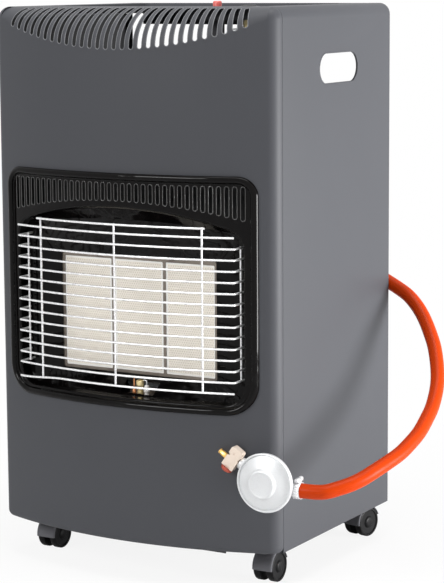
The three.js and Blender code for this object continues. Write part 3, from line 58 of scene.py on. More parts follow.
def at(x: float, y: float, z: float) -> Vector:
    """A point given in millimetres from the seam, in the frame's metres."""
    return Vector((x * MM, y * MM + SEAM_Y, z * MM))


# ---- node trees


def operator(operation: str, swapped: bool = False) -> Callable[["Signal", object], "Signal"]:
    """An operator of the Signal class.

    Args:
        operation: the Math node's operation.
        swapped: whether the signal comes second, as in 1 - mask.

    Returns:
        The method, which adds the node.
    """

    def apply(self: "Signal", other: object) -> "Signal":
        """Adds the node for this signal and another value."""
        return self.math(operation, *((other, self) if swapped else (self, other)))

    return apply


class Signal:
    """A node's output that takes part in arithmetic, each operation adding a Math node."""

    def __init__(self, graph: "Graph", socket: bpy.types.NodeSocket) -> None:
        """Wraps one output of a node of the graph."""
        self.graph = graph
        self.socket = socket

    def math(self, operation: str, *values: object) -> "Signal":
        """A Math node on the given values."""
        return self.graph.node("ShaderNodeMath", {"operation": operation}, dict(enumerate(values)))

    __add__ = __radd__ = operator("ADD")
    __sub__ = operator("SUBTRACT")
    __rsub__ = operator("SUBTRACT", swapped=True)
    __mul__ = __rmul__ = operator("MULTIPLY")
    __truediv__ = operator("DIVIDE")
    __rtruediv__ = operator("DIVIDE", swapped=True)
    below = operator("LESS_THAN")

    def __abs__(self) -> "Signal":
        """The absolute value."""
        return self.math("ABSOLUTE", self)

    def floor(self) -> "Signal":
        """The whole number at or below it."""
        return self.math("FLOOR", self)

    def root(self) -> "Signal":
        """The square root."""
        return self.math("SQRT", self)

    def cell(self, pitch: float) -> "Signal":
        """Its distance from the middle of the cell of that pitch that it is in, in cells."""
        return self.math("FRACT", self / pitch + 0.5) - 0.5

    def ease(self, low: float, high: float) -> "Signal":
        """0 below low and 1 above high, with a smooth step between them."""
        settings = {"interpolation_type": "SMOOTHSTEP"}
        return self.graph.node("ShaderNodeMapRange", settings, {0: self, 1: low, 2: high})


class Graph:
    """A node tree that is written as expressions."""

    def __init__(self, tree: bpy.types.NodeTree) -> None:
        """Starts on an empty tree."""
        self.tree = tree
        tree.nodes.clear()

    def node(
        self, kind: str, settings: dict[str, object] | None = None,
        inputs: dict[int | str, object] | None = None, output: int | str = 0,
    ) -> Signal:
        """Adds a node.

        Args:
            kind: the node's type.
            settings: its own properties, such as an operation.
            inputs: a value or a signal for each socket, by its number or name.
            output: the output that is wanted.

        Returns:
            That output.
        """
        made = self.tree.nodes.new(kind)
        for name, value in (settings or {}).items():
            setattr(made, name, value)
        for socket, value in (inputs or {}).items():
            if isinstance(value, Signal):
                self.tree.links.new(value.socket, made.inputs[socket])
            elif value is not None:
                made.inputs[socket].default_value = value
        return Signal(self, made.outputs[output]) if made.outputs else None

    def blend(self, share: object, first: object, second: object) -> Signal:
        """A colour between two others."""
        start, end = [(*c, 1.0) if isinstance(c, tuple) else c for c in (first, second)]
        return self.node("ShaderNodeMix", {"data_type": "RGBA"}, {0: share, 6: start, 7: end}, 2)

    def place(self) -> Signal:
        """Object coordinates, in metres."""
        return self.node("ShaderNodeTexCoord", output="Object")

    def axes(self, vector: Signal) -> tuple[Signal, Signal, Signal]:
        """The three parts of a vector."""
        parts = self.node("ShaderNodeSeparateXYZ", None, {0: vector})
        return tuple(Signal(self, parts.socket.node.outputs[i]) for i in range(3))

    def noise(self, scale: float, detail: float = 2.0, where: Signal | None = None) -> Signal:
        """Cloudy noise between 0 and 1, with features of about one part in scale of a metre."""
        inputs = {"Vector": where or self.place(), "Scale": scale, "Detail": detail}
        return self.node("ShaderNodeTexNoise", None, inputs)

    def stretched(self, stretch: Point) -> Signal:
        """Object coordinates stretched along the axes, for brushed and drawn surfaces."""
        return self.node("ShaderNodeMapping", None, {"Vector": self.place(), "Scale": stretch})

    def bump(self, height: Signal, strength: float, depth: float) -> Signal:
        """A normal with the given height pressed into it, depth in metres."""
        return self.node("ShaderNodeBump", None, {"Height": height, "Strength": strength, "Distance": depth})


# ---- finishes


@dataclass(frozen=True)
class Finish:
    """A surface finish, which makes one material."""

    name: str
    colour: Colour
    roughness: float = 0.5
    metallic: float = 0.0
    coat: float = 0.0
    specular: float = 0.5

    def material(self) -> bpy.types.Material:
        """The material of this finish, made once."""
        made = bpy.data.materials.get(self.name)
        if made is None:
            made = bpy.data.materials.new(self.name)
            made.use_nodes = True
            graph = Graph(made.node_tree)
            fixed = {
                "Base Color": (*self.colour, 1.0),
                "Roughness": self.roughness,
                "Metallic": self.metallic,
                "Coat Weight": self.coat,
                "Coat Roughness": 0.12,
                "Specular IOR Level": self.specular,
            }
            shader = graph.node("ShaderNodeBsdfPrincipled", None, {**fixed, **self.varied(graph)})
            graph.node("ShaderNodeOutputMaterial", None, {0: shader})
            made.diffuse_color = (*self.colour, 1.0)
        return made

    def varied(self, graph: Graph) -> dict[str, object]:
        """What changes over the surface, by the shader's sockets."""
        tone = graph.noise(60.0, 3.0)
        return {"Roughness": self.roughness * (0.9 + 0.2 * tone)}

    def tinted(self, graph: Graph, share: object, other: Colour) -> Signal:
        """This finish's colour, changed to another by a share."""
        return graph.blend(share, self.colour, other)


@dataclass(frozen=True)
class PowderCoat(Finish):
    """Baked powder paint: a fine orange peel, faint clouds of tone and a slightly worn gloss."""

    peel: float = 0.00006

    def varied(self, graph: Graph) -> dict[str, object]:
        """Tone, gloss and peel over the surface."""
        cloud = graph.noise(7.0, 4.0)
        grain = graph.noise(2600.0, 2.0)
        peel = graph.noise(1100.0, 2.0) * 0.7 + grain * 0.3
        lighter = tuple(c * 1.14 + 0.002 for c in self.colour)
        speck = graph.node("ShaderNodeTexNoise", None, {"Scale": 5200.0, "Detail": 0.0}).ease(0.6, 0.75)
        tone = graph.blend(cloud * 0.6 + speck * 0.25, self.colour, lighter)
        return {
            "Base Color": tone,
            "Roughness": self.roughness + 0.07 * cloud - 0.05 * grain,
            "Normal": graph.bump(peel, 0.35, self.peel),
        }


@dataclass(frozen=True)
class InnerShadeCoat(PowderCoat):
    """Powder paint outside a side panel, and painted shade inside it: its inner face is coloured near black,
    so that the slots in the top show it dark.
    """

    inside: float = 0.2096
    below: float = 0.7195
    # The near-black colour of the painted shade inside the panel.
    inner_shade: Colour = (0.01, 0.01, 0.011)

    def varied(self, graph: Graph) -> dict[str, object]:
        """The paint, with painted shade where the panel faces inwards."""
        made = super().varied(graph)
        x, _, z = graph.axes(graph.place())
        # Painted shade: the side wall's inner face, below its top bend, takes a near-black colour.
        shaded_inside = abs(x).below(self.inside) * z.below(self.below)
        made["Base Color"] = graph.blend(shaded_inside, made["Base Color"], self.inner_shade)
        return made


@dataclass(frozen=True)
class BlackEnamel(Finish):
    """Vitreous enamel over a pressed sheet: glossy, with the sheet's slow waves in its reflections."""

    def varied(self, graph: Graph) -> dict[str, object]:
        """Waves, fine pits and dull patches."""
        wave = graph.noise(22.0, 2.0)
        pits = graph.noise(900.0, 1.0)
        dull = graph.noise(45.0, 3.0).ease(0.5, 0.78)
        return {
            "Base Color": graph.blend(dull * 0.3, self.colour, (0.008, 0.008, 0.008)),
            "Roughness": self.roughness + 0.06 * dull + 0.03 * pits,
            "Normal": graph.bump(wave + 0.008 * pits, 0.5, 0.003),
        }


@dataclass(frozen=True)
class DrawnMetal(Finish):
    """Metal with fine lines along one axis, as drawing, rolling or brushing leaves it."""

    stretch: Point = (40.0, 1600.0, 1600.0)
    stain: Colour = (0.3, 0.28, 0.25)
    stain_share: float = 0.25
    depth: float = 0.00005

    def varied(self, graph: Graph) -> dict[str, object]:
        """Lines, stains and the gloss between them."""
        lines = graph.noise(1.0, 3.0, graph.stretched(self.stretch))
        cloud = graph.noise(35.0, 4.0).ease(0.45, 0.8)
        return {
            "Base Color": self.tinted(graph, self.stain_share * cloud, self.stain),
            "Roughness": self.roughness * (0.75 + 0.5 * lines) + 0.1 * cloud,
            "Normal": graph.bump(lines, 0.25, self.depth),
        }


@dataclass(frozen=True)
class Galvanised(Finish):
    """Zinc-coated sheet with its crystal spangle."""

    def varied(self, graph: Graph) -> dict[str, object]:
        """One tone and gloss for each crystal."""
        inputs = {"Vector": graph.place(), "Scale": 110.0}
        crystal = graph.node("ShaderNodeTexVoronoi", None, inputs, "Color")
        tone = graph.axes(crystal)[0]
        return {
            "Base Color": graph.blend(tone, self.colour, tuple(c * 0.72 for c in self.colour)),
            "Roughness": self.roughness + 0.16 * tone,
            "Normal": graph.bump(graph.noise(500.0), 0.15, 0.0001),
        }


@dataclass(frozen=True)
class CastMetal(Finish):
    """Die-cast or blasted metal with a fine grain."""

    grain: float = 1900.0

    def varied(self, graph: Graph) -> dict[str, object]:
        """Grain, and a darker tone in its pits."""
        grain = graph.noise(self.grain, 3.0)
        cloud = graph.noise(50.0, 3.0)
        pits = grain.ease(0.5, 0.25) * 0.25 + cloud * 0.15
        return {
            "Base Color": self.tinted(graph, pits, tuple(c * 0.6 for c in self.colour)),
            "Roughness": self.roughness + 0.18 * grain * cloud,
            "Normal": graph.bump(grain, 0.3, 0.00008),
        }


@dataclass(frozen=True)
class MouldedPlastic(Finish):
    """Injection-moulded plastic with a fine spark-eroded texture and rubbed patches."""

    texture: float = 2200.0

    def varied(self, graph: Graph) -> dict[str, object]:
        """Texture, and the gloss of what is rubbed."""
        grain = graph.noise(self.texture, 2.0)
        rub = graph.noise(80.0, 3.0).ease(0.5, 0.75)
        lighter = tuple(c * 1.5 + 0.004 for c in self.colour)
        return {
            "Base Color": self.tinted(graph, rub * 0.25 + grain * 0.1, lighter),
            "Roughness": self.roughness - 0.12 * rub + 0.08 * grain,
            "Normal": graph.bump(grain, 0.25, 0.00007),
        }


@dataclass(frozen=True)
class HoseRubber(Finish):
    """Extruded hose: faint lines along it and a slow change of tone, on the hose's own UV map."""

    def varied(self, graph: Graph) -> dict[str, object]:
        """Extrusion lines and tone."""
        uv = graph.node("ShaderNodeUVMap", {"uv_map": "along"})
        along = graph.node("ShaderNodeMapping", None, {"Vector": uv, "Scale": (4.0, 90.0, 1.0)})
        lines = graph.noise(1.0, 2.0, along)
        cloud = graph.noise(30.0, 3.0)
        red, green, blue = self.colour
        deep = (red * 0.78, green * 0.55, blue * 0.6)
        return {
            "Base Color": self.tinted(graph, lines.ease(0.4, 0.7) * 0.3 + cloud * 0.25, deep),
            "Roughness": self.roughness + 0.12 * cloud,
            "Normal": graph.bump(lines + 0.2 * graph.noise(1500.0), 0.25, 0.00012),
        }


@dataclass(frozen=True)
class BurnerCeramic(Finish):
    """Pressed ceramic plaque: rows of burner holes inside a plain bright border."""

    middles: tuple[float, ...] = (-0.078, 0.0, 0.078)
    centre_z: float = 0.339
    half_width: float = 0.0375
    half_height: float = 0.0735
    border: float = 0.0035
    pitch: float = 0.0034
    row_pitch: float = 0.87
    hole: float = 0.26

    def varied(self, graph: Graph) -> dict[str, object]:
        """Holes as dots of painted shade, in a body with faint scorching."""
        x, _, z = graph.axes(graph.place())
        span = self.middles[1] - self.middles[0]
        across = x.cell(span) * span
        up = z - self.centre_z
        half_x, half_z = self.half_width - self.border, self.half_height - self.border
        inside = abs(across).below(half_x) * abs(up).below(half_z)
        row = up / (self.pitch * self.row_pitch)
        shift = (row + 0.5).floor() * 0.5
        dx = (across / self.pitch + shift).cell(1.0)
        dz = row.cell(1.0) * self.row_pitch
        radius = (dx * dx + dz * dz).root()
        hole = radius.ease(self.hole + 0.08, self.hole - 0.1) * inside
        cloud = graph.noise(38.0, 4.0)
        red, green, blue = self.colour
        warm = self.tinted(graph, cloud * 0.5, (red * 0.97, green * 0.94, blue * 0.88))
        body = graph.blend(inside, (0.96, 0.94, 0.9), warm)
        grain = graph.noise(1400.0, 2.0)
        return {
            # Painted shade in the holes: each hole's dot is darkened towards brown-grey.
            "Base Color": graph.blend(hole * 0.55, body, (0.55, 0.49, 0.4)),
            "Roughness": self.roughness + 0.05 * grain,
            "Normal": graph.bump(0.12 * grain + (1.0 - hole), 0.3, 0.0004),
        }


GRAPHITE_TONE: Colour = (0.056, 0.0578, 0.065)


class Look(Enum):
    """The finishes of the heater's pieces."""

    GRAPHITE = PowderCoat("graphite_paint", GRAPHITE_TONE, 0.5, specular=0.2)
    # Side panels: the paint outside, and painted shade in near black on the inner face.
    SIDE_PAINT = InnerShadeCoat("side_paint", GRAPHITE_TONE, 0.5, specular=0.2)
    # The slots' lips: a lighter copy of the paint, a painted highlight along their edges.
    EDGE_PAINT = PowderCoat("edge_paint", (0.15, 0.154, 0.165), 0.38)
    # The vents' lips: grey against the black enamel, a painted highlight along their edges.
    EDGE_ENAMEL = BlackEnamel("enamel_edge", (0.085, 0.083, 0.082), 0.12)
    # Black paint for the base plate; on the heat shield it is painted shade behind the vents.
    BLACK_PAINT = PowderCoat("black_paint", (0.014, 0.014, 0.016), 0.45)
    ENAMEL = BlackEnamel("black_enamel", (0.0025, 0.002, 0.002), 0.05, specular=0.12)
    CHROME = DrawnMetal(
        "bright_wire", (0.84, 0.84, 0.85), 0.26, 0.55, stain=(0.6, 0.56, 0.5), stain_share=0.12
    )
    STEEL = DrawnMetal("steel", (0.55, 0.56, 0.58), 0.34, 0.9)
    SCALED = DrawnMetal(
        "scaled_steel", (0.2, 0.175, 0.15), 0.5, 0.75, stain=(0.09, 0.075, 0.07), stain_share=0.7
    )
    ZINC = Galvanised("galvanised_steel", (0.52, 0.54, 0.56), 0.38, 0.85)
    CERAMIC = BurnerCeramic("burner_ceramic", (0.93, 0.88, 0.8), 0.85)
    BRASS = CastMetal("brass", (0.64, 0.45, 0.19), 0.28, 1.0)
    COPPER = CastMetal("copper", (0.6, 0.27, 0.13), 0.3, 0.85)
    ROSE_BRASS = CastMetal("plated_brass", (0.78, 0.66, 0.56), 0.34, 0.45)
    GOLD_BRASS = CastMetal("gilt_brass", (0.8, 0.5, 0.16), 0.28, 0.8)
    ALLOY = CastMetal("cast_alloy", (0.66, 0.67, 0.68), 0.36, 0.6)
    PRESSED_ALLOY = CastMetal("pressed_alloy", (0.7, 0.71, 0.72), 0.36, 0.3, grain=1100.0)
    BLACK_PLASTIC = MouldedPlastic("black_plastic", (0.004, 0.004, 0.0045), 0.5, specular=0.14)
    KNOB_PLASTIC = MouldedPlastic("knob_plastic", (0.01, 0.01, 0.011), 0.3, coat=0.3)
    WHEEL_PLASTIC = MouldedPlastic("wheel_plastic", (0.006, 0.006, 0.0065), 0.42, specular=0.16)
    RED_PLASTIC = MouldedPlastic("red_plastic", (0.62, 0.018, 0.015), 0.25, coat=0.4, texture=900.0)
    COPPER_RED = MouldedPlastic("red_cap", (0.4, 0.06, 0.03), 0.25, 0.35, 0.3, texture=900.0)
    ORANGE = HoseRubber("orange_hose", (0.52, 0.045, 0.003), 0.3, specular=0.08)
    PORCELAIN = CastMetal("porcelain", (0.94, 0.93, 0.9), 0.2, coat=0.5, grain=700.0)
    LEAD = MouldedPlastic("lead_sheath", (0.03, 0.03, 0.032), 0.5, texture=1500.0)

    @property
    def material(self) -> bpy.types.Material:
        """The finish's material."""
        return self.value.material()


# ---- shapes


def arc(cx: float, cy: float, radius: float, start: float, end: float, steps: int) -> list[Flat]:
    """Points along an arc, its angles in degrees."""
    angles = (math.radians(start + (end - start) * i / steps) for i in range(steps + 1))
    return [(cx + radius * math.cos(a), cy + radius * math.sin(a)) for a in angles]


def turned(degrees: float, axis: str) -> Matrix:
    """A turn about one of the axes."""
    return Matrix.Rotation(math.radians(degrees), 4, axis)


def between(first: Sequence[float], second: Sequence[float], share: float) -> tuple[float, ...]:
    """The point at a share of the way from one point to another."""
    return tuple(a + (b - a) * share for a, b in zip(first, second))


def box(x0: float, x1: float, y0: float, y1: float) -> list[Flat]:
    """A rectangle, anticlockwise from its lower left."""
    return [(x0, y0), (x1, y0), (x1, y1), (x0, y1)]


def rounded_box(x0: float, x1: float, y0: float, y1: float, radius: float, steps: int = 8) -> list[Flat]:
    """A rectangle with round corners, anticlockwise from its lower right."""
    return [
        *arc(x1 - radius, y0 + radius, radius, -90, 0, steps),
        *arc(x1 - radius, y1 - radius, radius, 0, 90, steps),
        *arc(x0 + radius, y1 - radius, radius, 90, 180, steps),
        *arc(x0 + radius, y0 + radius, radius, 180, 270, steps),
    ]


def circle(cx: float, cy: float, radius: float, sides: int) -> list[Flat]:
    """A regular outline round a point."""
    return arc(cx, cy, radius, -90, 270, sides)[:-1]


class Plane(Enum):
    """The plane that a flat outline is drawn in, and so the axis that it is run along."""

    XZ = "y"
    YZ = "x"
    XY = "z"

    def lift(self, point: Flat, height: float) -> Point:
        """The outline's point, at a height along the axis."""
        a, b = point
        return {"y": (a, height, b), "x": (height, a, b), "z": (a, b, height)}[self.value]


class Solid:
    """A mesh in the making, in millimetres from the seam."""

    def __init__(self) -> None:
        """Starts empty."""
        self.bm = bmesh.new()

    def loft(self, loops: Sequence[Sequence[Sequence[float]]], ring: bool = False) -> "Solid":
        """Skins a row of closed loops.

        Args:
            loops: the loops, each of as many points.
            ring: whether the last loop joins the first, instead of both being closed by a face.

        Returns:
            This solid.
        """
        rows = [[self.bm.verts.new(Vector(p)) for p in loop] for loop in loops]
        pairs = list(zip(rows, rows[1:] + rows[:1])) if ring else list(zip(rows, rows[1:]))
        for first, second in pairs:
            count = len(first)
            for i in range(count):
                j = (i + 1) % count
                self.bm.faces.new((first[i], first[j], second[j], second[i]))
        if not ring:
            self.bm.faces.new(list(reversed(rows[0])))
            self.bm.faces.new(rows[-1])
        return self

    def prism(self, outline: Sequence[Flat], plane: Plane, low: float, high: float) -> "Solid":
        """Runs a flat outline between two heights along its axis."""
        return self.loft([[plane.lift(p, h) for p in outline] for h in (low, high)])

    def lathe(
        self, profile: Sequence[Flat], origin: Point, axis: Point = (0, 0, 1), sides: int = 48
    ) -> "Solid":
        """Turns a profile of (radius, height) points round an axis through a point."""
        turn = Vector((0, 0, 1)).rotation_difference(Vector(axis)).to_matrix()
        place = Vector(origin)
        poles = {i for i, (radius, _) in enumerate(profile) if radius < 1e-6}
        rows: list[list[bmesh.types.BMVert]] = []
        for i, (radius, height) in enumerate(profile):
            angles = [0.0] if i in poles else [2 * math.pi * k / sides for k in range(sides)]
            points = [Vector((radius * math.cos(a), radius * math.sin(a), height)) for a in angles]
            rows.append([self.bm.verts.new(place + turn @ p) for p in points])
        for first, second in zip(rows, rows[1:]):
            for k in range(sides):
                quad = [first[k % len(first)], first[(k + 1) % len(first)]]
                quad += [second[(k + 1) % len(second)], second[k % len(second)]]
                corners = list(dict.fromkeys(quad))
                if len(corners) > 2:
                    self.bm.faces.new(corners)
        for row, flip in ((rows[0], True), (rows[-1], False)):
            if len(row) > 1 and profile[0] != profile[-1]:
                self.bm.faces.new(list(reversed(row)) if flip else row)
        return self

    def sheet(self, outer: Sequence[Sequence[Point]], inner: Sequence[Sequence[Point]]) -> "Solid":
        """A sheet between two matching grids of points, closed along its edges."""
        grids = [[[self.bm.verts.new(Vector(p)) for p in row] for row in grid] for grid in (outer, inner)]
        for grid, flip in zip(grids, (False, True)):
            for low, high in zip(grid, grid[1:]):
                for i in range(len(low) - 1):
                    quad = [low[i], low[i + 1], high[i + 1], high[i]]
                    self.bm.faces.new(list(reversed(quad)) if flip else quad)
        front, back = grids
        rims = [
            (front[0], back[0]), (back[-1], front[-1]),
            ([r[-1] for r in front], [r[-1] for r in back]), ([r[0] for r in back], [r[0] for r in front]),
        ]
        for a, b in rims:
            for i in range(len(a) - 1):
                self.bm.faces.new((a[i + 1], a[i], b[i], b[i + 1]))
        return self

    def swept(self, line: Sequence[Sequence[float]], radius: float, sides: int = 12) -> "Solid":
        """A round bar along a line of points, closed at both ends."""
        points = [Vector(p) for p in line]
        last = len(points) - 1
        spans = [(points[max(i - 1, 0)], points[min(i + 1, last)]) for i in range(len(points))]
        tangents = [(end - start).normalized() for start, end in spans]
        side = tangents[0].orthogonal().normalized()
        loops = []
        for i, (point, tangent) in enumerate(zip(points, tangents)):
            if i:
                side = tangents[i - 1].rotation_difference(tangent) @ side
                side = (side - tangent * side.dot(tangent)).normalized()
            other = tangent.cross(side)
            angles = [2 * math.pi * k / sides for k in range(sides)]
            loops.append([point + radius * (math.cos(a) * side + math.sin(a) * other) for a in angles])
        return self.loft(loops)

    def carve(self, *tools: "Solid", operation: str = "DIFFERENCE") -> "Solid":
        """Cuts other solids out of this one.

        Args:
            tools: the solids that are taken away.
            operation: another way to join them, such as UNION.

        Returns:
            This solid.
        """
        body = self.mesh_object("carved_body", scaled=False)
        knife = Solid()
        for tool in tools:
            spare = bpy.data.meshes.new("tool")
            tool.tidy().bm.to_mesh(spare)
            knife.bm.from_mesh(spare)
            bpy.data.meshes.remove(spare)
        blade = knife.mesh_object("carving_blade", scaled=False)
        cut = body.modifiers.new("cut", "BOOLEAN")
        cut.operation = operation
        cut.solver = "EXACT"
        cut.object = blade
        cut.use_self = True
        made = Builder.plain_mesh(body)
        self.bm = bmesh.new()
        self.bm.from_mesh(made)
        for spent in (body.data, blade.data, made):
            bpy.data.meshes.remove(spent)
        return self

    def tidy(self) -> "Solid":
        """Merges doubled points and turns the faces outwards."""
        bmesh.ops.remove_doubles(self.bm, verts=self.bm.verts, dist=1e-4)
        bmesh.ops.recalc_face_normals(self.bm, faces=self.bm.faces)
        return self

    def moved(self, matrix: Matrix) -> "Solid":
        """Moves all of it by a matrix."""
        self.bm.transform(matrix)
        return self

    def mirrored(self) -> "Solid":
        """Its mirror image across the middle of the heater."""
        self.bm.transform(Matrix.Diagonal((-1, 1, 1, 1)))
        bmesh.ops.reverse_faces(self.bm, faces=self.bm.faces)
        return self

    def mesh_object(self, name: str, scaled: bool = True) -> Piece:
        """Makes an object of it, in the frame's metres where scaled."""
        self.tidy()
        if scaled:
            place = Matrix.Translation((0, SEAM_Y, 0)) @ Matrix.Diagonal((MM, MM, MM, 1))
            self.bm.transform(place)
        mesh = bpy.data.meshes.new(name)
        self.bm.to_mesh(mesh)
        self.bm.free()
        made = bpy.data.objects.new(name, mesh)
        bpy.context.scene.collection.objects.link(made)
        return made


class Builder:
    """Turns solids into finished pieces on the heater's bodies."""

    @staticmethod
    def plain_mesh(piece: Piece) -> bpy.types.Mesh:
        """The piece's mesh with its modifiers applied."""
        bpy.context.view_layer.update()
        graph = bpy.context.evaluated_depsgraph_get()
        return bpy.data.meshes.new_from_object(piece.evaluated_get(graph))

    @staticmethod
    def bake(piece: Piece) -> None:
        """Applies the piece's modifiers."""
        made = Builder.plain_mesh(piece)
        piece.modifiers.clear()
        old = piece.data
        name = old.name
        piece.data = made
        bpy.data.meshes.remove(old)
        made.name = name

    @staticmethod
    def soften(piece: Piece, width: float, steps: int = 2, limit: float = 40.0) -> None:
        """Rounds the piece's sharp edges by a width in millimetres."""
        bevel = piece.modifiers.new("edges", "BEVEL")
        bevel.width = width * MM
        bevel.segments = steps
        bevel.angle_limit = math.radians(limit)
        bevel.use_clamp_overlap = True
        bevel.harden_normals = False
        Builder.bake(piece)

    @staticmethod
    def smooth(piece: Piece, angle: float) -> None:
        """Shades the piece smooth, but for edges sharper than an angle in degrees."""
        piece.data.shade_smooth()
        piece.data.set_sharp_from_angle(angle=math.radians(angle))

    @staticmethod
    def finish(
        solid: Solid, name: str, look: Look, body: str = "cabinet", replaces: Iterable[str] = (),
        slot: str = "", edge: float = 0.0, angle: float = 34.0, steps: int = 2,
    ) -> Piece:
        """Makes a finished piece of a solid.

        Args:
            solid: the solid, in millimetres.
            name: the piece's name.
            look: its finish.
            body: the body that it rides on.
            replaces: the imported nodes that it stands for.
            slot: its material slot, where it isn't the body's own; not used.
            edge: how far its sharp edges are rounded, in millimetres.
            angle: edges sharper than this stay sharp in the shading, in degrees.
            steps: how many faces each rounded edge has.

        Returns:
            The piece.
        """
        piece = solid.mesh_object(name)
        if edge:
            Builder.soften(piece, edge, steps)
        Builder.smooth(piece, angle)
        return Builder.dress(piece, look, body, replaces, slot)

    @staticmethod
    def dress(
        piece: Piece, look: Look, body: str = "cabinet", replaces: Iterable[str] = (), slot: str = ""
    ) -> Piece:
        """Gives a piece its finish and its body."""
        piece.data.materials.clear()
        piece.data.materials.append(look.material)
        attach(piece, body)
        if replaces:
            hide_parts(*replaces)
        log.info("%s: %d faces", piece.name, len(piece.data.polygons))
        return piece

    @staticmethod
    def repaint(look: Look, *nodes: str) -> None:
        """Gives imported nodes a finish."""
        for node in nodes:
            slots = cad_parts[node].material_slots
            for slot in slots:
                slot.material = look.material
            log.info("%s: %s", node, look.name.lower())


# ---- repeated and followed shapes


class NodeTool:
    """A Geometry Nodes tree that is put on a piece, baked and taken off again."""

    def __init__(self, name: str, inputs: dict[str, str]) -> None:
        """Starts the tree with its named inputs, each with its kind."""
        self.tree = bpy.data.node_groups.new(name, "GeometryNodeTree")
        self.graph = Graph(self.tree)
        face = self.tree.interface
        face.new_socket(name="Geometry", in_out="OUTPUT", socket_type="NodeSocketGeometry")
        face.new_socket(name="Geometry", in_out="INPUT", socket_type="NodeSocketGeometry")
        self.keys = {
            title: face.new_socket(name=title, in_out="INPUT", socket_type=f"NodeSocket{kind}").identifier
            for title, kind in inputs.items()
        }
        self.entry = self.graph.node("NodeGroupInput")

    def given(self, title: str) -> Signal:
        """One of the tree's inputs."""
        return Signal(self.graph, self.entry.socket.node.outputs[title])

    def close(self, result: Signal) -> None:
        """Ends the tree in realised geometry with its material."""
        real = self.graph.node("GeometryNodeRealizeInstances", None, {0: result})
        inputs = {"Geometry": real, "Material": self.given("Material")}
        coated = self.graph.node("GeometryNodeSetMaterial", None, inputs)
        self.graph.node("NodeGroupOutput", None, {0: coated})

    def apply(self, piece: Piece, values: dict[str, object]) -> None:
        """Runs the tree on a piece and keeps the plain mesh.

        Args:
            piece: the object whose mesh is the tree's geometry.
            values: a value for each of the named inputs.
        """
        modifier = piece.modifiers.new("nodes", "NODES")
        modifier.node_group = self.tree
        for title, value in values.items():
            modifier[self.keys[title]] = value
        Builder.bake(piece)
        bm = bmesh.new()
        bm.from_mesh(piece.data)
        bmesh.ops.recalc_face_normals(bm, faces=bm.faces)
        bm.to_mesh(piece.data)
        bm.free()


class RodTool(NodeTool):
    """Runs a round rod along each line of edges, and repeats them all by a step."""

    def __init__(self) -> None:
        """Builds the tree."""
        kinds = {"Radius": "Float", "Sides": "Int", "Count": "Int", "Step": "Vector", "Material": "Material"}
        super().__init__("rods_along_lines", kinds)
        graph = self.graph
        line = graph.node("GeometryNodeMeshToCurve", None, {0: self.given("Geometry")})
        sizes = {"Resolution": self.given("Sides"), "Radius": self.given("Radius")}
        section = graph.node("GeometryNodeCurvePrimitiveCircle", {"mode": "RADIUS"}, sizes)
        curves = {"Curve": line, "Profile Curve": section, "Fill Caps": True}
        rod = graph.node("GeometryNodeCurveToMesh", None, curves)
        spacing = {"Count": self.given("Count"), "Offset": self.given("Step")}
        row = graph.node("GeometryNodeMeshLine", {"mode": "OFFSET"}, spacing)
        self.close(graph.node("GeometryNodeInstanceOnPoints", None, {"Points": row, "Instance": rod}))

    def make(
        self, name: str, lines: Sequence[Sequence[Sequence[float]]], radius: float, look: Look,
        sides: int = 10, count: int = 1, step: Point = (0.0, 0.0, 0.0), closed: bool = False,
    ) -> Piece:
        """Makes rods along lines of points.

        Args:
            name: the piece's name.
            lines: the lines, in millimetres from the seam.
            radius: the rods' radius, in millimetres.
            look: their finish.
            sides: how many faces they have round them.
            count: how many times the whole set stands.
            step: the way from one set to the next, in millimetres.
            closed: whether each line runs back to its start.

        Returns:
            The rods, not yet on a body.
        """
        points, edges = [], []
        for line in lines:
            first = len(points)
            points += [at(*p) for p in line]
            edges += [(i, i + 1) for i in range(first, len(points) - 1)]
            if closed:
                edges.append((len(points) - 1, first))
        mesh = bpy.data.meshes.new(name)
        mesh.from_pydata(points, edges, [])
        piece = bpy.data.objects.new(name, mesh)
        bpy.context.scene.collection.objects.link(piece)
        sizes = {"Radius": radius * MM, "Sides": sides, "Count": count, "Step": [c * MM for c in step]}
        self.apply(piece, {**sizes, "Material": look.material})
        Builder.smooth(piece, 50)
        return piece


class ScatterTool(NodeTool):
    """Stands a copy of a pattern on each point, facing the way that the point says."""

    def __init__(self) -> None:
        """Builds the tree."""
        super().__init__("patterns_on_points", {"Pattern": "Object", "Material": "Material"})
        graph = self.graph
        settings = {"data_type": "FLOAT_VECTOR"}
        facing = graph.node("GeometryNodeInputNamedAttribute", settings, {"Name": "facing"})
        turn = graph.node("FunctionNodeAlignRotationToVector", {"axis": "Z"}, {"Vector": facing})
        pattern = graph.node("GeometryNodeObjectInfo", None, {"Object": self.given("Pattern")}, "Geometry")
        inputs = {"Points": self.given("Geometry"), "Instance": pattern, "Rotation": turn}
        self.close(graph.node("GeometryNodeInstanceOnPoints", None, inputs))

    def make(
        self, name: str, pattern: Piece, places: Sequence[tuple[Point, Point]], look: Look
    ) -> Piece:
        """Makes the copies.

        Args:
            name: the piece's name.
            pattern: the object that is copied, at the origin and facing up.
            places: a point in millimetres and a direction for each copy.
            look: their finish.

        Returns:
            The copies, not yet on a body.
        """
        mesh = bpy.data.meshes.new(name)
        mesh.from_pydata([at(*point) for point, _ in places], [], [])
        facing = mesh.attributes.new("facing", "FLOAT_VECTOR", "POINT")
        for i, (_, way) in enumerate(places):
            facing.data[i].vector = way
        piece = bpy.data.objects.new(name, mesh)
        bpy.context.scene.collection.objects.link(piece)
        self.apply(piece, {"Pattern": pattern, "Material": look.material})
        Builder.smooth(piece, 35)
        return piece


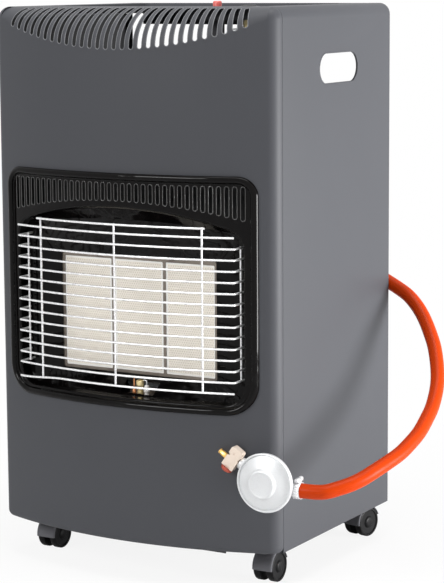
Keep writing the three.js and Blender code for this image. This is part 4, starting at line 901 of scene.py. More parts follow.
def filleted(corners: Sequence[Point], bend: float, steps: int = 8) -> list[Vector]:
    """A line through corners, with each of them bent round."""
    points = [Vector(c) for c in corners]
    line = [points[0]]
    for back, here, on in zip(points, points[1:], points[2:]):
        before, after = back - here, on - here
        reach = min(bend, before.length / 2, after.length / 2)
        start, end = here + before.normalized() * reach, here + after.normalized() * reach
        for i in range(steps + 1):
            t = i / steps
            line.append((1 - t) ** 2 * start + 2 * t * (1 - t) * here + t * t * end)
    return [*line, points[-1]]


# ---- studio


@dataclass(frozen=True)
class Softbox:
    """A rectangular lamp, its place in metres."""

    name: str
    place: Point
    size: Flat
    watts: float

    def build(self, aim: Point) -> None:
        """Stands the lamp, turned to a point."""
        data = bpy.data.lights.new(self.name, "AREA")
        data.shape = "RECTANGLE"
        data.size, data.size_y = self.size
        data.energy = self.watts
        lamp = bpy.data.objects.new(self.name, data)
        turn = (Vector(aim) - Vector(self.place)).to_track_quat("-Z", "Y").to_matrix().to_4x4()
        lamp.matrix_world = Matrix.Translation(self.place) @ turn
        bpy.context.scene.collection.objects.link(lamp)


@dataclass(frozen=True)
class Studio:
    """The camera, the lamps, the pale floor and the white background."""

    azimuth: float = 30.691
    elevation: float = 8.075
    roll: float = -0.465
    distance: float = 2.8309
    target: Point = (0.0, 0.15 + SEAM_Y, 0.3773)
    focal: float = 2096.7
    centre: Flat = (198.867, 271.679)
    image: tuple[int, int] = (444, 583)
    sensor: float = 36.0
    clip: Flat = (0.05, 60.0)
    ambient: float = 0.22
    floor_radius: float = 1400.0
    floor_tone: float = 0.93
    floor_white: float = 0.88
    floor_fade: Flat = (0.3, 0.9)
    aim: Point = (0.0, 0.0, 0.38)
    lamps: tuple[Softbox, ...] = (
        Softbox("right_softbox", (2.3, 0.5, 0.25), (1.2, 0.9), 105.0),
        Softbox("front_softbox", (-0.9, -3.0, 1.9), (1.3, 1.0), 62.0),
        Softbox("top_softbox", (0.3, -0.2, 2.6), (1.6, 1.6), 46.0),
    )

    def camera(self) -> None:
        """Stands the camera where the photograph was taken from."""
        a, e, r = (math.radians(v) for v in (self.azimuth, self.elevation, self.roll))
        back = Vector((math.sin(a) * math.cos(e), -math.cos(a) * math.cos(e), math.sin(e)))
        right = Vector((math.cos(a), math.sin(a), 0.0))
        up = back.cross(right)
        x_axis = math.cos(r) * right + math.sin(r) * up
        y_axis = back.cross(x_axis)
        data = bpy.data.cameras.new("camera")
        long_side = max(self.image)
        data.sensor_width = self.sensor
        data.lens = self.focal / long_side * self.sensor
        data.shift_x = (self.image[0] / 2 - self.centre[0]) / long_side
        data.shift_y = (self.centre[1] - self.image[1] / 2) / long_side
        data.clip_start, data.clip_end = self.clip
        camera = bpy.data.objects.new("camera", data)
        turn = Matrix((x_axis, y_axis, back)).transposed().to_4x4()
        camera.matrix_world = Matrix.Translation(Vector(self.target) + self.distance * back) @ turn
        bpy.context.scene.collection.objects.link(camera)
        bpy.context.scene.camera = camera

    def world(self) -> None:
        """A white surround for the eye and for reflections, and a softer one for light."""
        world = bpy.data.worlds.new("surround")
        bpy.context.scene.world = world
        world.use_nodes = True
        graph = Graph(world.node_tree)
        kinds = ("Is Camera Ray", "Is Glossy Ray", "Is Transmission Ray")
        seen = sum(graph.node("ShaderNodeLightPath", output=kind) for kind in kinds)
        strength = self.ambient + (1.0 - self.ambient) * seen
        sky = graph.node("ShaderNodeBackground", None, {"Color": (1.0, 1.0, 1.0, 1.0), "Strength": strength})
        graph.node("ShaderNodeOutputWorld", None, {0: sky})

    def floor(self) -> None:
        """A pale floor that goes white away from the heater."""
        disc = Solid().prism(circle(0, 130, self.floor_radius, 96), Plane.XY, -6.0, -0.05)
        made = disc.mesh_object("floor")
        material = bpy.data.materials.new("pale_floor")
        material.use_nodes = True
        graph = Graph(material.node_tree)
        x, y, _ = graph.axes(graph.place())
        away = (x * x + y * y).root().ease(*self.floor_fade)
        far = self.floor_white + (1.0 - self.floor_white) * away
        seen = graph.node("ShaderNodeLightPath", output="Is Camera Ray")
        tone = self.floor_tone
        matte = graph.node("ShaderNodeBsdfDiffuse", None, {"Color": (tone, tone, tone, 1.0)})
        white = graph.node("ShaderNodeEmission", None, {"Color": (1.0, 1.0, 1.0, 1.0), "Strength": 1.0})
        mixed = graph.node("ShaderNodeMixShader", None, {0: far * seen, 1: matte, 2: white})
        graph.node("ShaderNodeOutputMaterial", None, {0: mixed})
        made.data.materials.append(material)

    def build(self) -> None:
        """Sets the studio up."""
        self.world()
        self.floor()
        for lamp in self.lamps:
            lamp.build(self.aim)
        bpy.context.scene.view_settings.view_transform = "Standard"


# ---- gas hose and regulator


@dataclass(frozen=True)
class GasHose:
    """The hose from the gas valve's elbow, out of the open back and round to the regulator."""

    diameter: float = 18.5
    length: float = 0.93
    sides: int = 28
    samples: int = 9
    map_length: float = 0.1
    route: tuple[Point, ...] = (
        (238.6, -24.5, 142), (251.5, -23.8, 142), (260.4, -23, 142), (268.2, -21.4, 142),
        (279, -18, 143), (291, -8.5, 146.5), (302, 3, 150.5), (311, 17, 155.5), (318, 34, 161.5),
        (324.5, 62, 168.6), (329.5, 88, 175.6), (332, 112, 184), (333, 136, 193), (331, 163, 205),
        (327, 192, 219), (318, 226, 245), (301, 255, 279), (286, 272, 298), (269, 288, 316),
        (255, 297, 329), (239, 304.5, 340.5), (221, 310.5, 349), (205, 314, 356), (188, 315, 364),
        (171, 313, 372.5), (155, 307.5, 382.5), (140, 298, 393.5), (124, 283, 407), (112, 264, 421.5),
        (104, 242, 437.5), (101, 215, 455), (101, 185, 475), (105, 155, 498), (111, 130, 523),
        (118, 112, 549), (124, 101, 573), (127.3, 95.3, 596), (128, 94, 615), (128, 94, 632),
    )

    def line(self) -> list[Vector]:
        """The hose's centreline from the elbow to the regulator, in millimetres."""
        points = [Vector(p) for p in reversed(self.route)]
        ends = [2 * points[0] - points[1], *points, 2 * points[-1] - points[-2]]
        line = [points[0]]
        for p0, p1, p2, p3 in zip(ends, ends[1:], ends[2:], ends[3:]):
            d0, d1, d2 = (math.sqrt((b - a).length) for a, b in ((p0, p1), (p1, p2), (p2, p3)))
            m1 = d1 * ((p1 - p0) / d0 - (p2 - p0) / (d0 + d1) + (p2 - p1) / d1)
            m2 = d1 * ((p2 - p1) / d1 - (p3 - p1) / (d1 + d2) + (p3 - p2) / d2)
            for i in range(1, self.samples + 1):
                t = i / self.samples
                blend = (2 * t**3 - 3 * t**2 + 1, t**3 - 2 * t**2 + t, 3 * t**2 - 2 * t**3, t**3 - t**2)
                line.append(blend[0] * p1 + blend[1] * m1 + blend[2] * p2 + blend[3] * m2)
        return line

    def tube(self, line: Sequence[Vector]) -> Piece:
        """The hose's mesh, with a map that runs along it."""
        piece = Solid().swept(line, self.diameter / 2, self.sides).mesh_object("hose")
        uv = piece.data.uv_layers.new(name="along")
        rings = [at(*p) for p in line]
        whole = sum((b - a).length for a, b in zip(rings, rings[1:]))
        for polygon in piece.data.polygons:
            for loop in polygon.loop_indices:
                vertex = piece.data.loops[loop].vertex_index
                row, turn = divmod(vertex, self.sides)
                uv.data[loop].uv = (row / (len(rings) - 1) * whole / self.map_length, turn / self.sides)
        return piece

    def build(self, carried: Sequence[Piece]) -> None:
        """Makes the hose.

        Args:
            carried: the pieces at its far end; not used.
        """
        line = self.line()
        piece = self.tube(line)
        Builder.smooth(piece, 60)
        Builder.dress(piece, Look.ORANGE, replaces=["gas_hose"], slot="rubber")
        points = [at(*p) for p in line]
        log.info("hose length %.4f", sum((b - a).length for a, b in zip(points, points[1:])))


@dataclass(frozen=True)
class BandClamp:
    """A worm-drive clamp on the hose, drawn round the Z axis from zero up."""

    inner: float = 9.55
    band: float = 1.2
    width: float = 9.5

    def solid(self) -> Solid:
        """The band, the worm's housing and the screw with its slotted head."""
        outer, middle = self.inner + self.band, self.width / 2
        ring = [
            (self.inner, 0.3), (self.inner + 0.5, 0), (outer - 0.2, 0), (outer, 0.3),
            (outer, self.width - 0.3), (outer - 0.2, self.width), (self.inner + 0.5, self.width),
            (self.inner, self.width - 0.3), (self.inner, 0.3),
        ]
        made = Solid().lathe(ring, (0, 0, 0), sides=48)
        made.prism(rounded_box(-5, 5, 1.6, self.width - 1.6, 1.6, 4), Plane.YZ, outer - 0.6, outer + 4.4)
        made.lathe([(0, -7), (2.5, -7), (2.5, 7), (0, 7)], (outer + 2.8, 0, middle), (0, 1, 0), 20)
        head = [(0, 0), (3.1, 0), (3.3, 0.5), (3.3, 2), (2.9, 2.5), (0.5, 2.5), (0.5, 1.7), (0, 1.7)]
        return made.lathe(head, (outer + 2.8, -6.2, middle), (0, -1, 0), 24)

    def place(self, name: str, matrix: Matrix) -> Piece:
        """Puts one clamp where a matrix says."""
        node = [name.replace("band_", "hose_")]
        return Builder.finish(self.solid().moved(matrix), name, Look.CHROME, replaces=node, slot="chrome")


@dataclass(frozen=True)
class Regulator:
    """The gas regulator at the hose's end."""

    place: Point = (206.5, -42.0, 151.0)
    turn: float = 3.0
    outlet: float = 33.0
    outlet_back: float = 15.8
    neck_back: float = 7.0
    neck_across: float = 4.0
    outlet_drop: float = 9.0
    inlet_back: float = 3.0
    inlet_axis: Point = (-0.82, 0.0, 0.572)
    across_axis: Point = (-0.572, 0.0, -0.82)
    block_out: float = 51.5
    block_half: float = 8.5
    block_top: float = -10.6
    block_end: float = 17.9
    block_depth: float = 5.0
    stem_across: float = 8.4
    clamp_gap: float = 0.6
    clamp_turn: float = 180.0
    ribs: int = 8
    bonnet: tuple[Flat, ...] = (
        (0, 0.15), (36.4, 0.15), (37.3, 0.6), (37.7, 1.4), (37.6, 2.4), (37.1, 3.2), (36.3, 3.5),
        (35.5, 3.3), (34.9, 2.6), (34.6, 1.5), (34.2, 1.2), (33.5, 1.5), (26.5, 4.9), (20.0, 7.9),
        (18.9, 8.6), (18.4, 9.6), (18.2, 11.8), (17.8, 12.7), (17.0, 13.3), (16.1, 13.5), (15.2, 13.4),
        (14.8, 13.0), (14.4, 12.9), (0, 12.9),
    )

    @property
    def frame(self) -> Matrix:
        """From the regulator's own axes to the cabinet's."""
        return Matrix.Translation(self.place) @ turned(self.turn, "Z")

    @property
    def inlet_frame(self) -> Matrix:
        """From axes along the inlet to the cabinet's."""
        tilt = math.atan2(-self.inlet_axis[2], self.inlet_axis[0])
        return self.frame @ Matrix.Translation((0, self.inlet_back, 0)) @ Matrix.Rotation(tilt, 4, "Y")

    def bowl(self) -> Piece:
        """The rear half, with the outlet and the inlet neck."""
        profile = [
            (0, -0.15), (36.4, -0.15), (37.0, -0.6), (37.0, -3.3), (36.4, -3.9), (31, -5.0), (26, -7.6),
            (21, -12.2), (19, -14), (15.4, -15.8), (14, -16), (0, -16),
        ]
        made = Solid().lathe([(r, -h) for r, h in profile], (0, 0, 0), (0, 1, 0), 72)
        boss = [(0, 0), (8, 0), (8, 14), (7.4, 15), (6.2, 15.2)]
        barbs = [(5.3, 16), (6.0, 17), (5.3, 19.5), (6.0, 20.5), (5.3, 23), (6.0, 24), (4.4, 24.7), (0, 24.7)]
        made.lathe([*boss, *barbs], (8, self.outlet_back, -self.outlet_drop), (1, 0, 0), 32)
        way = Vector(self.inlet_axis)
        foot = way * 20 + Vector(self.across_axis) * self.neck_across + Vector((0, self.neck_back, 0))
        neck = [(0, 0), (6.5, 0), (6.5, 16.6), (7.6, 17), (7.8, 18), (7.8, 21), (7.4, 22), (6.5, 22.9)]
        made.lathe([*neck, (0, 22.9)], foot, way, 32)
        made.moved(self.frame)
        return Builder.finish(made, "regulator_bowl", Look.ALLOY, replaces=["regulator_body"])

    def cover(self) -> Piece:
        """The pressed front with its rolled rim, ribs and cap."""
        made = Solid().lathe(self.bonnet, (0, 0, 0), (0, -1, 0), 96)
        for i in range(self.ribs):
            turn = Matrix.Rotation(2 * math.pi * (i + 0.3) / self.ribs, 4, "Y")
            line = [turn @ Vector((r, -h, 0)) for r, h in ((31.6, 1.7), (29, 3.0), (25, 4.9), (20.2, 7.2))]
            made.swept(line, 0.45, 8)
        made.moved(self.frame)
        return Builder.finish(made, "regulator_cover", Look.PRESSED_ALLOY, replaces=["regulator_bonnet"])

    def inlet(self) -> Piece:
        """The inlet block: a square head and a cut-off foot with a round hole between them."""
        out, half = self.block_out, self.block_half
        low, high = self.block_top, self.block_end
        head = rounded_box(out - half, out + half, low, 1.2, 3.0, 6)
        foot = [
            (out - half, high), (out - half, 2.6), (out - half + 2.4, -0.5), (out + half - 5.5, -0.5),
            (out + half - 1.4, 1.8), (out + half, 4.0), (out + half, high),
        ]
        depth = self.block_depth
        made = Solid().prism(head, Plane.XZ, -depth, depth).carve(
            Solid().prism(foot, Plane.XZ, -depth, depth), operation="UNION"
        )
        dimple = Solid().prism(circle(out + 1.0, -3.0, 0.9, 20), Plane.XZ, -depth - 1, -depth + 1.2)
        eye = Solid().prism(circle(out + half - 1.6, 1.2, 1.5, 20), Plane.XZ, -depth - 1, depth + 1)
        made = made.carve(dimple, eye)
        return Builder.finish(
            made.moved(self.inlet_frame), "regulator_block", Look.ROSE_BRASS,
            replaces=["regulator_inlet"], edge=0.9, steps=3,
        )

    def stem(self) -> Piece:
        """The stem that the bottle's valve takes."""
        profile = [(0, -1), (3.6, -1), (3.6, 8.5), (3.2, 9), (3.2, 10), (3.6, 10.5), (3.6, 11.5), (3.1, 12)]
        root = (self.block_out + self.block_half, 0, self.stem_across)
        made = Solid().lathe([*profile, (0, 12)], root, (1, 0, 0), 8).moved(self.inlet_frame)
        return Builder.finish(made, "regulator_stem", Look.GOLD_BRASS, edge=0.15, angle=30)

    def cap(self) -> Piece:
        """The red cap on the block's end."""
        low, wide = self.block_end + 0.3, self.block_half - 0.5
        profile = [
            (0, low), (wide - 0.4, low), (wide, low + 0.5), (wide, low + 3.4), (wide - 0.5, low + 4.2),
            (wide - 1.3, low + 4.6), (wide - 2.0, low + 4.2), (wide - 2.4, low + 3.6), (0, low + 3.4),
        ]
        made = Solid().lathe(profile, (self.block_out, 0, 0), sides=40).moved(self.inlet_frame)
        return Builder.finish(made, "regulator_end_cap", Look.COPPER_RED, replaces=["regulator_cap"])

    def build(self) -> list[Piece]:
        """Makes the regulator with its clamp.

        Returns:
            All its pieces.
        """
        spot = Matrix.Translation((self.outlet + self.clamp_gap, self.outlet_back, -self.outlet_drop))
        lie = spot @ turned(90, "Y") @ turned(self.clamp_turn, "Z")
        clamp = BandClamp().place("band_clamp_regulator", self.frame @ lie)
        pieces = [self.bowl(), self.cover(), self.inlet(), self.stem(), self.cap(), clamp]
        return pieces


# ---- case


@dataclass(frozen=True)
class Bow:
    """The bowed front that the front panel, the fire surround and the guard share."""

    half: float = 210.0
    height: float = 735.0
    foot: float = 51.0
    radius: float = 560.0
    corner: float = 18.0
    lead: float = 0.85
    ease: float = 1.5
    tongue: float = 12.0
    tongue_half: float = 194.7
    bend: float = 15.0

    @property
    def corner_x(self) -> float:
        """Where the middle of each corner stands."""
        return self.half - self.corner

    @property
    def centre(self) -> float:
        """Where the middle of the bow stands."""
        return math.sqrt((self.radius - self.corner) ** 2 - self.corner_x**2) - self.lead

    @property
    def angle(self) -> float:
        """Half the bow's angle."""
        return math.asin(self.corner_x / (self.radius - self.corner))

    def y(self, x: float, inset: float = 0.0) -> float:
        """How far forward the bow stands, on a surface sunk behind it by the inset."""
        return self.centre - math.sqrt((self.radius - inset) ** 2 - x * x)

    def drop(self, angle: float) -> float:
        """How far the rolled top falls at an angle along the bow."""
        return self.radius * math.cos(angle) - self.centre - self.ease

    def on_roll(self, x: float, y: float) -> Vector:
        """The point of the rolled top above a point in plan."""
        share = 0.0
        end = self.tongue_half / math.sin(self.angle)
        angle = 0.0
        for _ in range(8):
            angle = math.asin(x / (self.radius * (1 - share) + end * share))
            start = self.centre - self.radius * math.cos(angle)
            share = min(max((y - start) / (self.tongue - start), 0.0), 1.0)
        drop = self.drop(angle)
        return Vector((x, y, self.height - drop + drop * math.sin(math.acos(1 - share))))

    def on_front(self, x: float, z: float) -> Vector:
        """The point of the front or of its rolled top, seen straight from the front."""
        angle = math.asin(x / self.radius)
        drop = self.drop(angle)
        rise = min(max((z - self.height + drop) / drop, 0.0), 1.0)
        share = 1 - math.cos(math.asin(rise))
        start = self.centre - self.radius * math.cos(angle)
        return Vector((x, start + (self.tongue - start) * share, z))


BOW = Bow()


@dataclass(frozen=True)
class FrontPanel:
    """The bowed front panel with its rolled, slotted top."""

    sheet: float = 0.8
    bow_steps: int = 84
    corner_steps: int = 12
    roll_steps: int = 20
    slots: int = 29
    pitch: float = 12.35
    width: float = 6.5
    slot_back: float = -4.0
    fan: float = 0.052
    lap: float = 5.7
    foot_round: float = 9.0
    foot_steps: int = 8
    seam_steps: int = 4
    flange_x: Flat = (198.0, 209.6)
    flange_z: Flat = (61.0, 719.0)
    over: float = 4.0

    def columns(self, inset: float) -> list[tuple[float, float, float, float, float]]:
        """Each column's place in plan, its drop and where its roll ends, from left to right."""
        bow, corner = BOW.radius - inset, BOW.corner - inset
        middle = []
        for i in range(self.bow_steps + 1):
            a = BOW.angle * (2 * i / self.bow_steps - 1)
            end = BOW.tongue_half * math.sin(a) / math.sin(BOW.angle)
            middle.append((bow * math.sin(a), BOW.centre - bow * math.cos(a), BOW.drop(a), end, BOW.tongue))
        right = []
        for i in range(self.corner_steps + 1):
            share = i / self.corner_steps
            a = BOW.angle + (math.pi / 2 - BOW.angle) * share
            drop = BOW.drop(BOW.angle) * (1 - share) + BOW.bend * share
            x, y = BOW.corner_x + corner * math.sin(a), -BOW.lead - corner * math.cos(a)
            right.append((x, y, drop, BOW.half - BOW.bend, 0.0))
        last = right[-1][2:]
        for i in range(1, self.seam_steps + 1):
            a, edge = math.pi / 2 * i / self.seam_steps, max(BOW.lead - inset, 0.02)
            right.append((BOW.half - BOW.lead + edge * math.cos(a), -BOW.lead + edge * math.sin(a), *last))
        left = [(-x, y, drop, -end, end_y) for x, y, drop, end, end_y in reversed(right)]
        return [*left, *middle, *right]

    def grid(self, inset: float) -> list[list[Point]]:
        """Rows of points from the foot to the end of the roll."""
        columns = self.columns(inset)
        rows, bend = [], self.foot_round - inset
        for j in range(self.foot_steps + 1):
            a = math.pi / 2 * (1 - j / self.foot_steps)
            z = BOW.foot + self.foot_round - bend * math.sin(a)
            rows.append([(x, y, z) for x, y, *_ in self.columns(self.foot_round - bend * math.cos(a))])
        for j in range(self.roll_steps + 1):
            a = math.pi / 2 * j / self.roll_steps
            share = 1 - math.cos(a)
            rows.append([
                (x + (ex - x) * share, y + (ey - y) * share, BOW.height - drop + (drop - inset) * math.sin(a))
                for x, y, drop, ex, ey in columns
            ])
        return rows

    def slot_frame(self, i: int) -> tuple[Vector, Vector, Vector, float, float]:
        """A slot's front and rear points in plan, its direction, its length and its foot."""
        x = (i - (self.slots - 1) / 2) * self.pitch
        front = Vector((x, BOW.y(x)))
        back = Vector((x * (1 - self.fan), self.slot_back))
        way = (back - front).normalized()
        foot = BOW.height - (-BOW.y(x) - BOW.ease) + self.width / 2
        return front, back, way, (back - front).length, foot

    def slot_end(self, foot: float) -> list[Flat]:
        """A slot's round lower end, as (across, height) points."""
        half = self.width / 2
        turns = [math.pi * (k / 10 - 0.5) for k in range(11)]
        return [(half * math.sin(a), foot - half * math.cos(a)) for a in turns]

    def slot_tool(self, i: int) -> Solid:
        """What one slot takes out of the panel."""
        front, _, way, length, foot = self.slot_frame(i)
        half, top = self.width / 2, BOW.height + self.over
        side = Vector((-way.y, way.x))
        section = [*self.slot_end(foot), (half, top), (-half, top)]
        turns = [math.pi / 2 * k / 6 for k in range(6)]
        rounding = [(length - half + half * math.sin(a), math.cos(a)) for a in turns]
        loops = []
        for along, share in [(-self.width, 1.0), (self.width, 1.0), *rounding, (length - 0.02, 0.08)]:
            middle = front + way * along
            loops.append([(*(middle + side * (across * share)), z) for across, z in section])
        return Solid().loft(loops)

    def slot_line(self, i: int) -> list[Vector]:
        """The closed line along one slot's edge, on the outer face."""
        front, _, way, length, foot = self.slot_frame(i)
        half = self.width / 2
        side = Vector((way.y, -way.x))
        low = [BOW.on_front(front.x + across, z) for across, z in self.slot_end(foot)]
        start = BOW.on_front(front.x, foot).y - front.y
        run = [start + (length - half - start) * (k / 14) ** 1.6 for k in range(1, 15)]
        right = [BOW.on_roll(*(front + way * s + side * half)) for s in run]
        left = [BOW.on_roll(*(front + way * s - side * half)) for s in reversed(run)]
        tip = front + way * (length - half)
        turns = [math.pi * k / 8 for k in range(1, 8)]
        end = [BOW.on_roll(*(tip + way * (half * math.sin(a)) + side * (half * math.cos(a)))) for a in turns]
        return [*low, *right, *end, *left]

    def solid(self) -> Solid:
        """The pressed sheet with its slots and its opening, its foot rolled under."""
        made = Solid().sheet(self.grid(0.0), self.grid(self.sheet))
        hole = Solid().prism(Surround().loop(self.lap), Plane.XZ, BOW.y(0) - 10, 0)
        return made.carve(hole, *(self.slot_tool(i) for i in range(self.slots)))

    def flanges(self) -> Solid:
        """The returns of the sheet that meet the side panels."""
        made = Solid()
        x0, x1 = self.flange_x
        for start, end in ((-x1, -x0), (x0, x1)):
            made.prism(box(start, end, -self.sheet, 0), Plane.XY, *self.flange_z)
        return made

    def build(self, rods: RodTool) -> None:
        """Makes the panel, its flanges and the rolled edges of its slots."""
        Builder.finish(self.solid(), "front_sheet", Look.GRAPHITE, replaces=["front_panel"], angle=38)
        Builder.finish(self.flanges(), "front_flanges", Look.GRAPHITE)
        lines = [self.slot_line(i) for i in range(self.slots)]
        # The slots' lips are coloured lighter than the panel: a painted highlight along their edges.
        lips = rods.make("slot_lips", lines, 0.55, Look.EDGE_PAINT, sides=8, closed=True)
        Builder.dress(lips, Look.EDGE_PAINT)


@dataclass(frozen=True)
class SidePanels:
    """The flat side panels with their bent tops, folded edges and hand-holds."""

    sheet: float = 0.8
    seam: float = 0.3
    depth: float = 303.0
    top_flange: float = 15.0
    foot_flange: float = 15.0
    edge_flange: float = 12.0
    grip_y: float = 152.7
    grip_z: float = 655.2
    grip_length: float = 106.0
    grip_height: float = 37.6
    grip_hem: float = 2.4
    edge_round: float = 0.7
    notch: Flat = (179.0, 195.0)
    fold_z: Flat = (51.4, 720.0)

    def wall_line(self, inset: float) -> list[Flat]:
        """The panel's section, as (x, z) points from its foot to its top."""
        top = BOW.height - BOW.bend
        return [
            (BOW.half - self.foot_flange, BOW.foot + inset),
            *arc(BOW.half - 1.6, BOW.foot + 1.6, 1.6 - inset, -90, 0, 5),
            *arc(BOW.half - BOW.bend, top, BOW.bend - inset, 0, 90, 16),
            (BOW.half - BOW.bend - self.top_flange, BOW.height - inset),
        ]

    def grip(self, grow: float) -> list[Flat]:
        """The hand-hold's outline."""
        reach, height = self.grip_length / 2, self.grip_height / 2
        radius = height + grow
        return [
            *arc(self.grip_y + reach - height, self.grip_z, radius, -90, 90, 24),
            *arc(self.grip_y - reach + height, self.grip_z, radius, 90, 270, 24),
        ]

    def hem(self) -> Solid:
        """The turned-in edge of the hand-hold, with a rounded lip."""
        stations = [
            (-self.grip_hem, 0.0), (-0.7, 0.0), (0.1, 0.35), (0.45, 1.1), (0.4, 1.9), (0.02, 2.6),
            (-0.5, 2.6), (-0.5, self.sheet), (-self.grip_hem, self.sheet),
        ]
        loops = [[(BOW.half + out, y, z) for y, z in self.grip(grow)] for out, grow in stations]
        return Solid().loft(loops, ring=True)

    def solid(self) -> Solid:
        """The right-hand panel."""
        inner = list(reversed(self.wall_line(self.sheet)))
        turns = [math.pi / 2 * k / 4 for k in range(5)]
        ends = [(self.edge_round * (1 - math.cos(a)), self.edge_round * (1 - math.sin(a))) for a in turns]
        stations = [(self.seam + run, inset) for run, inset in ends]
        stations += [(self.depth - run, inset) for run, inset in reversed(ends)]
        loops = [[(x, y, z) for x, z in (*self.wall_line(inset), *inner)] for y, inset in stations]
        made = Solid().loft(loops)
        hole = Solid().prism(self.grip(0.4), Plane.YZ, BOW.half - 20, BOW.half + 4)
        notch = rounded_box(*self.notch, -1, BOW.tongue + self.seam, 0.4, 2)
        return made.carve(hole, Solid().prism(notch, Plane.XY, BOW.height - BOW.bend, BOW.height + 2))

    def folds(self) -> Solid:
        """The folded front and back edges of the right-hand panel."""
        made = Solid()
        for y in (self.seam, self.depth - self.sheet):
            flat = box(BOW.half - self.edge_flange, BOW.half - 0.4, y, y + self.sheet)
            made.prism(flat, Plane.XY, *self.fold_z)
        return made

    def build(self) -> None:
        """Makes both panels."""
        for side in ("left", "right"):
            parts = {"sheet": self.solid(), "folds": self.folds(), "hem": self.hem()}
            for part, solid in parts.items():
                made = solid if side == "right" else solid.mirrored()
                node = [f"side_panel_{side}"] if part == "sheet" else []
                # The sheets carry painted shade on their inner faces.
                look = Look.SIDE_PAINT if part == "sheet" else Look.GRAPHITE
                Builder.finish(made, f"side_{side}_{part}", look, replaces=node, angle=30)


@dataclass(frozen=True)
class TopDeck:
    """The pressed top with its sunk floor and the recess for the controls."""

    front: float = 12.4
    back: float = 295.0
    depth: float = 303.0
    half: float = 179.6
    sheet: float = 0.8
    margin: float = 14.0
    sink: float = 8.0
    cup: tuple[float, float, float, float, float] = (52.0, 163.0, 28.0, 98.0, 20.0)
    cup_sink: float = 8.0
    bend: float = 8.0
    skirt_foot: float = 705.0
    hem: Flat = (1.9, 1.1)
    holes_y: float = 60.0
    holes: tuple[Flat, ...] = ((130.0, 5.0), (84.0, 8.0))

    def pressed(self, outline: Sequence[Flat], top: float, sink: float, shrink: float) -> list[list[Point]]:
        """Loops of a pressed hollow, from its rim down to its floor, with rounded edges."""
        cx = sum(p[0] for p in outline) / len(outline)
        cy = sum(p[1] for p in outline) / len(outline)
        wide = max(abs(p[0] - cx) for p in outline)
        deep = max(abs(p[1] - cy) for p in outline)
        stations = [(0.0, 0.0), (0.5, 0.1), (0.95, 0.4), (1.2, 1.0), (1.5, sink - 1.6), (1.9, sink - 0.7)]
        stations += [(2.6, sink - 0.15), (shrink, sink)]
        loops = []
        for inset, fall in stations:
            kx, ky = 1 - inset / wide, 1 - inset / deep
            loops.append([(cx + (x - cx) * kx, cy + (y - cy) * ky, top - fall) for x, y in outline])
        return loops

    def solid(self) -> Solid:
        """The deck, cut from a plate and given its hollows."""
        top = BOW.height
        plate = box(-self.half, self.half, self.front, self.back)
        made = Solid().prism(plate, Plane.XY, top - self.sink - self.cup_sink - self.sheet, top)
        floor = rounded_box(
            self.margin - self.half, self.half - self.margin,
            self.front + self.margin, self.depth - self.margin, 9, 10,
        )
        hollow = Solid().loft(list(reversed(self.pressed(floor, top, self.sink, 3.5))))
        lid = Solid().prism(floor, Plane.XY, top - 0.001, top + 5)
        x0, x1, y0, y1, radius = self.cup
        rim = rounded_box(x0 - 1.2, x1 + 1.2, y0 - 1.2, y1 + 1.2, radius + 1.2, 14)
        cup = Solid().loft(list(reversed(self.pressed(rim, top - self.sink, self.cup_sink, 3.2))))
        mouth = Solid().prism(rim, Plane.XY, top - self.sink - 0.001, top - self.sink + 5)
        return made.carve(hollow, lid).carve(cup, mouth)

    def under(self) -> tuple[Solid, Solid]:
        """What the sheet leaves open below, so that the deck stays a pressing."""
        top = BOW.height - self.sheet
        x0, x1, y0, y1, radius = self.cup
        inner = rounded_box(
            self.margin - self.half - self.sheet, self.half - self.margin + self.sheet,
            self.front + self.margin - self.sheet, self.depth - self.margin + self.sheet, 9.8, 10,
        )
        ring = rounded_box(x0 - 2.2, x1 + 2.2, y0 - 2.2, y1 + 2.2, radius + 2, 14)
        low = BOW.height - self.sink - self.cup_sink - self.sheet - 1
        edge = box(-self.half - 1, self.half + 1, self.front - 1, self.back + 1)
        skirt = Solid().prism(edge, Plane.XY, low, top)
        skirt = skirt.carve(Solid().prism(inner, Plane.XY, low - 1, top + 1))
        floor = Solid().prism(edge, Plane.XY, low, top - self.sink)
        floor = floor.carve(Solid().prism(ring, Plane.XY, low - 1, top - self.sink + 1))
        return skirt, floor

    def skirt(self) -> Solid:
        """The bent back edge and the hems at the sides."""
        top = BOW.height
        turn, foot = top - self.bend, self.skirt_foot
        outline = [
            (self.depth, foot), *arc(self.back, turn, self.bend, 0, 90, 14), (self.back - 4, top),
            (self.back - 4, top - self.sheet), *arc(self.back, turn, self.bend - self.sheet, 90, 0, 14),
            (self.depth - self.sheet, foot),
        ]
        made = Solid().prism(outline, Plane.YZ, -self.half, self.half)
        for side in (-1, 1):
            ends = sorted((side * (self.half - self.sheet), side * (self.half + 10)))
            made.prism(box(*ends, self.front, self.back), Plane.XY, *(top - fall for fall in self.hem))
        return made

    def build(self) -> None:
        """Makes the deck and its edges."""
        outlines = [circle(x, self.holes_y, radius, 40) for x, radius in self.holes]
        holes = [Solid().prism(outline, Plane.XY, BOW.height - 35, BOW.height - 5) for outline in outlines]
        made = self.solid().carve(*self.under()).carve(*holes)
        Builder.finish(made, "deck_sheet", Look.GRAPHITE, replaces=["top_deck"], angle=34)
        Builder.finish(self.skirt(), "deck_skirt", Look.GRAPHITE, angle=30)


# ---- fire


